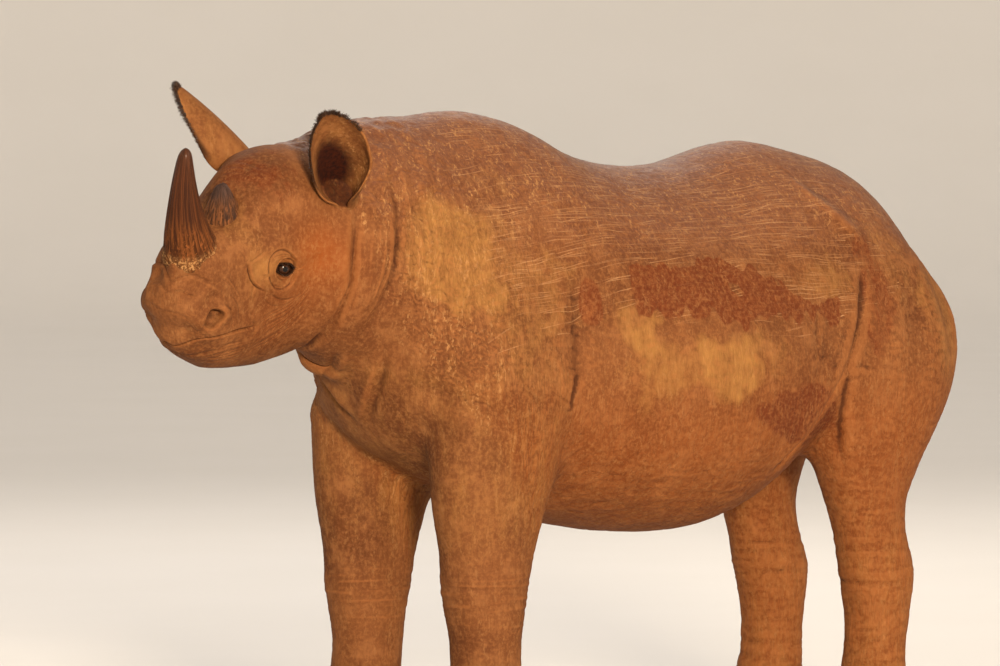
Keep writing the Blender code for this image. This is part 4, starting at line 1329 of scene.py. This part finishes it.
# ---- hair
def strands(name, made_of, roots, ways, lengths, thick, sag, tone, seed, *nodes):
    """Tapering three-sided hairs; each is unwrapped onto a small patch at its root's place."""
    random = np.random.RandomState(seed)
    count, rings = len(roots), 6
    ways = ways / np.linalg.norm(ways, axis=1)[:, None]
    side = np.cross(ways, random.normal(size=ways.shape))
    side /= np.linalg.norm(side, axis=1)[:, None]
    other = np.cross(ways, side)
    points = np.empty((count, rings, 3, 3))
    for r in range(rings):
        t = r / (rings - 1)
        core = roots + ways * (lengths * t)[:, None] + np.array((0, 0, -sag)) * (lengths * t * t)[:, None]
        width = thick * (1 - 0.85 * t**1.5)
        for k in range(3):
            angle = 2 * math.pi * k / 3
            points[:, r, k] = core + (side * math.cos(angle) + other * math.sin(angle)) * width
    first = (np.arange(count) * rings * 3)[:, None]
    quads, ends = net_faces(rings, 3), ((2, 1, 0), (15, 16, 17))
    faces = np.concatenate([first + np.array(quad) for quad in quads]).tolist()
    faces += np.concatenate([first + np.array(end) for end in ends]).tolist()
    mesh = mesh_from(name, points.reshape(-1, 3).tolist(), faces)
    spot = np.stack([(roots[:, 1] * 0.4 + roots[:, 0] * 0.3) % 0.98, (roots[:, 2] * 0.6) % 0.98], 1)
    share = np.tile(np.repeat(np.arange(rings) / (rings - 1), 3), count)
    around = np.tile(np.arange(3) / 2, count * rings)
    flat = np.repeat(spot, rings * 3, 0) + 0.003 * np.stack([around, share], 1)
    corners = np.empty(len(mesh.loops), np.int32)
    mesh.loops.foreach_get("vertex_index", corners)
    mesh.uv_layers.new(name="OFBake").data.foreach_set("uv", flat[corners].astype(np.float32).ravel())
    store(mesh, {"tone": np.repeat(random.uniform(0, 1, count) * tone, rings * 3)})
    finish_piece(new_object(name, mesh), made_of, "hair", *nodes)


FRONT_HAIRS, REAR_HAIRS, TIP_HAIRS = 800, 160, 420


def ear_fringe(which, made_of):
    """Stiff hair along the upper rims of an ear, thickest at the front and tip."""
    side = SIDES[which]
    random = np.random.RandomState(401 + side)
    table = fit_rows(EAR_SHAPE, 200)
    roots, ways, lengths = [], [], []
    _, tipward, _, across = ear_axes(which)
    for way in (-1, 1):
        front = way * side < 0
        for _ in range(FRONT_HAIRS if front else REAR_HAIRS):
            share, half, angle = table[int(random.uniform(0.42 if front else 0.80, 1.0) * 199)]
            if random.uniform() > (step(np.array(share), 0.40, 0.80) * 0.85 + 0.15):
                continue
            lift = random.uniform(-0.003, 0.003)
            edge = angle * way * random.uniform(0.94, 1.0)
            roots.append(ear_place(which, share, half, angle, edge, lift))
            inner = ear_place(which, share, half, angle, edge * 0.8)
            out = unit(roots[-1] - inner)
            ways.append(out * 0.8 + tipward * random.uniform(0.3, 1.2) + random.normal(size=3) * 0.22)
            lengths.append(random.uniform(0.5, 1.0) * (0.004 + 0.010 * step(share, 0.45, 1.0)))
    for _ in range(TIP_HAIRS):
        share = random.uniform(0.97, 1.0)
        share, half, angle = table[int(share * 199)]
        edge = angle * random.uniform(-1, 1)
        roots.append(ear_place(which, share, half, angle, edge, random.uniform(-0.002, 0.002)))
        ways.append(tipward + across * edge * 0.5 + random.normal(size=3) * 0.30)
        lengths.append(random.uniform(0.007, 0.015))
    ways, lengths = np.array(ways) @ AXES, np.array(lengths)
    strands("ear_fringe_" + which, made_of, from_head(roots), ways, lengths, 0.0009, 0.10, 0.25, 411)


LASHES = 150
UPPER_LASHES = 110


def lashes(which, made_of):
    """Short thick lashes over each eye and fewer below it."""
    side = SIDES[which]
    random = np.random.RandomState(421)
    centre, front, up, out = eye_frame(side)
    roots, ways, lengths = [], [], []
    long, high = EYE_OPENING
    for k in range(LASHES):
        upper = k < UPPER_LASHES
        x = random.uniform(-0.95, 0.80) * long
        y = high * (1 - abs(x / long) ** 2.2) * (1.06 if upper else -0.92)
        z = math.sqrt((EYE_RADIUS + LID_THICKNESS + 0.0008) ** 2 - x * x - y * y) - 0.0006
        roots.append(centre + front * x + up * (y + (0.0008 if upper else -0.0008)) + out * z)
        rise = random.uniform(0.0, 0.5) * (1 if upper else -1)
        ways.append(out * 0.9 + up * rise - front * 0.25 + random.normal(size=3) * 0.15)
        lengths.append(random.uniform(0.006, 0.013) if upper else random.uniform(0.004, 0.008))
    ways, lengths = np.array(ways) @ AXES, np.array(lengths)
    strands("lashes_" + which, made_of, from_head(roots), ways, lengths, 0.00045, 0.25, 0.1, 422)


TAIL_ROOT = np.array((0.0, 1.0437, 1.215))
TAIL_LENGTH = 0.56
TAIL_OUT = 0.105
TAIL_BEND = 5.0
TAIL_HAIRS = 1500


def tail_place(share):
    out = TAIL_OUT * (1 - np.exp(-share * TAIL_BEND))
    return TAIL_ROOT + np.stack([out * 0, out, -share * TAIL_LENGTH], -1)


def tail_brush(made_of):
    """Stiff black hair all round the end of the tail, within the space of its node."""
    random = np.random.RandomState(431)
    count = TAIL_HAIRS
    share = random.uniform(0.66, 0.985, count)
    turn = random.uniform(0, 2 * math.pi, count)
    edge, beside = np.cos(turn), np.sin(turn)
    roots = tail_place(share)
    roots[:, 1] += edge * 0.010
    roots[:, 0] += beside * 0.009
    ways = np.stack([random.normal(size=count) * 0.10 + beside * 0.2, edge * 0.25, np.full(count, -1.0)], 1)
    lengths = random.uniform(0.025, 0.055, count) * np.clip((1.03 - share) * 6, 0.35, 1)
    strands("tail_brush", made_of, roots, ways, lengths, 0.0008, 0.1, 0.2, 432, "tail_tuft")


# ---- stage
def floor_and_wall():
    """Pale round floor that curves up into a wall, so that no edge shows."""
    flat, bend, top = 24.0, 9.0, 24.0
    profile = [(r, 0.0) for r in (1.0, 2.0, 4.0, 8.0, 12.0, 16.0, 20.0, flat)]
    for k in range(1, 25):
        angle = math.pi / 2 * k / 24
        profile.append((flat + bend * math.sin(angle), bend - bend * math.cos(angle)))
    profile.append((flat + bend, top))
    count = 96
    turn = [2 * math.pi * k / count for k in range(count)]
    points = [(r * math.cos(t), r * math.sin(t), z) for r, z in profile for t in turn] + [(0.0, 0.0, 0.0)]
    faces = [(a, d, c, b) for a, b, c, d in net_faces(len(profile), count)]
    faces += [(k, (k + 1) % count, len(points) - 1) for k in range(count)]
    floor = new_object("floor", mesh_from("floor", points, faces))
    floor.data.shade_smooth()
    made, graph, shader = material("pale floor", Roughness=0.9)
    tone = graph.spread(graph.noise(graph.place(), 1.5, 3.0), 0.3, 0.7)
    finish(graph, shader, graph.mix(tone, (0.755, 0.728, 0.690), (0.765, 0.738, 0.702)), None)
    floor.data.materials.append(made)


CAMERA_LENS = 313.04
CAMERA_TARGET = (0.0, -0.0913, 0.994)
# Azimuth and elevation in degrees, and distance.
CAMERA_WAY = (50.0, 2.5, 20.0)
LAMP_TARGET = (0.0, -0.1, 0.9)
# Each lamp: azimuth, elevation, distance, size, power and colour.
LAMPS = (
    ("key", 60.0, 10.0, 20.0, 2.7, 6800.0, (1.0, 0.83, 0.62)),
    ("fill", 120.0, 20.0, 10.0, 5.0, 190.0, (1.0, 0.90, 0.80)),
    ("back", 232.0, 35.0, 9.0, 4.0, 230.0, (1.0, 0.92, 0.84)),
)


def aim(obj, target, azimuth, elevation, distance):
    """Puts a camera or a lamp round the target and turns it to look there."""
    a, e = math.radians(azimuth), math.radians(elevation)
    away = Vector((math.sin(a) * math.cos(e), -math.cos(a) * math.cos(e), math.sin(e)))
    bpy.context.scene.collection.objects.link(obj)
    obj.location = Vector(target) + away * distance
    obj.rotation_euler = (-away).to_track_quat("-Z", "Y").to_euler()


def stage():
    scene = bpy.context.scene
    scene.view_settings.view_transform = "Standard"
    floor_and_wall()
    world = bpy.data.worlds.new("studio")
    world.use_nodes = True
    glow = world.node_tree.nodes["Background"].inputs
    glow["Color"].default_value = (1.0, 0.95, 0.90, 1)
    glow["Strength"].default_value = 0.75
    scene.world = world
    camera = bpy.data.cameras.new("camera")
    camera.lens = CAMERA_LENS
    camera.sensor_width = 36.0
    camera.clip_end = 200.0
    scene.camera = bpy.data.objects.new("camera", camera)
    aim(scene.camera, CAMERA_TARGET, *CAMERA_WAY)
    for name, azimuth, elevation, distance, size, power, colour in LAMPS:
        light = bpy.data.lights.new(name, "AREA")
        light.energy = power
        light.size = size
        light.color = colour
        obj = bpy.data.objects.new(name, light)
        obj.visible_camera = False
        aim(obj, LAMP_TARGET, azimuth, elevation, distance)


# ---- make
skin = plain_body()
finer(skin)
on_ear = join_ears(skin)
form = Form(skin.data, on_ear)
body_folds(form)
head_masses(form)
head_folds(form)
nostrils(form)
eye_sockets(form)
feet(form)
nail_beds(form)
wrinkles(form)
store(skin.data, marks(form, on_ear))
set_points(skin.data, form.points)
GROUPS = {"scratches": scratches_group(), "hide": hide_group()}
skin.data.materials.append(skin_material())
skin.data.shade_smooth()
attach(skin, ROOT)
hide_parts(*FLESH, *EAR_NODES)
horn("front", horn_material("front horn", (0.150, 0.047, 0.012), (0.030, 0.009, 0.003), (0.34, 0.66), 1.0))
horn("rear", horn_material("rear horn", (0.140, 0.052, 0.019), (0.030, 0.016, 0.012), (0.62, 1.10), 0.0))
eye_look, nail_look, hair_look = eye_material(), nail_material(), hair_material()
for which in SIDES:
    eyeball(which, eye_look)
    ear_fringe(which, hair_look)
    lashes(which, hair_look)
for node in NAILS:
    nail(node, nail_look)
tail_brush(hair_look)
stage()
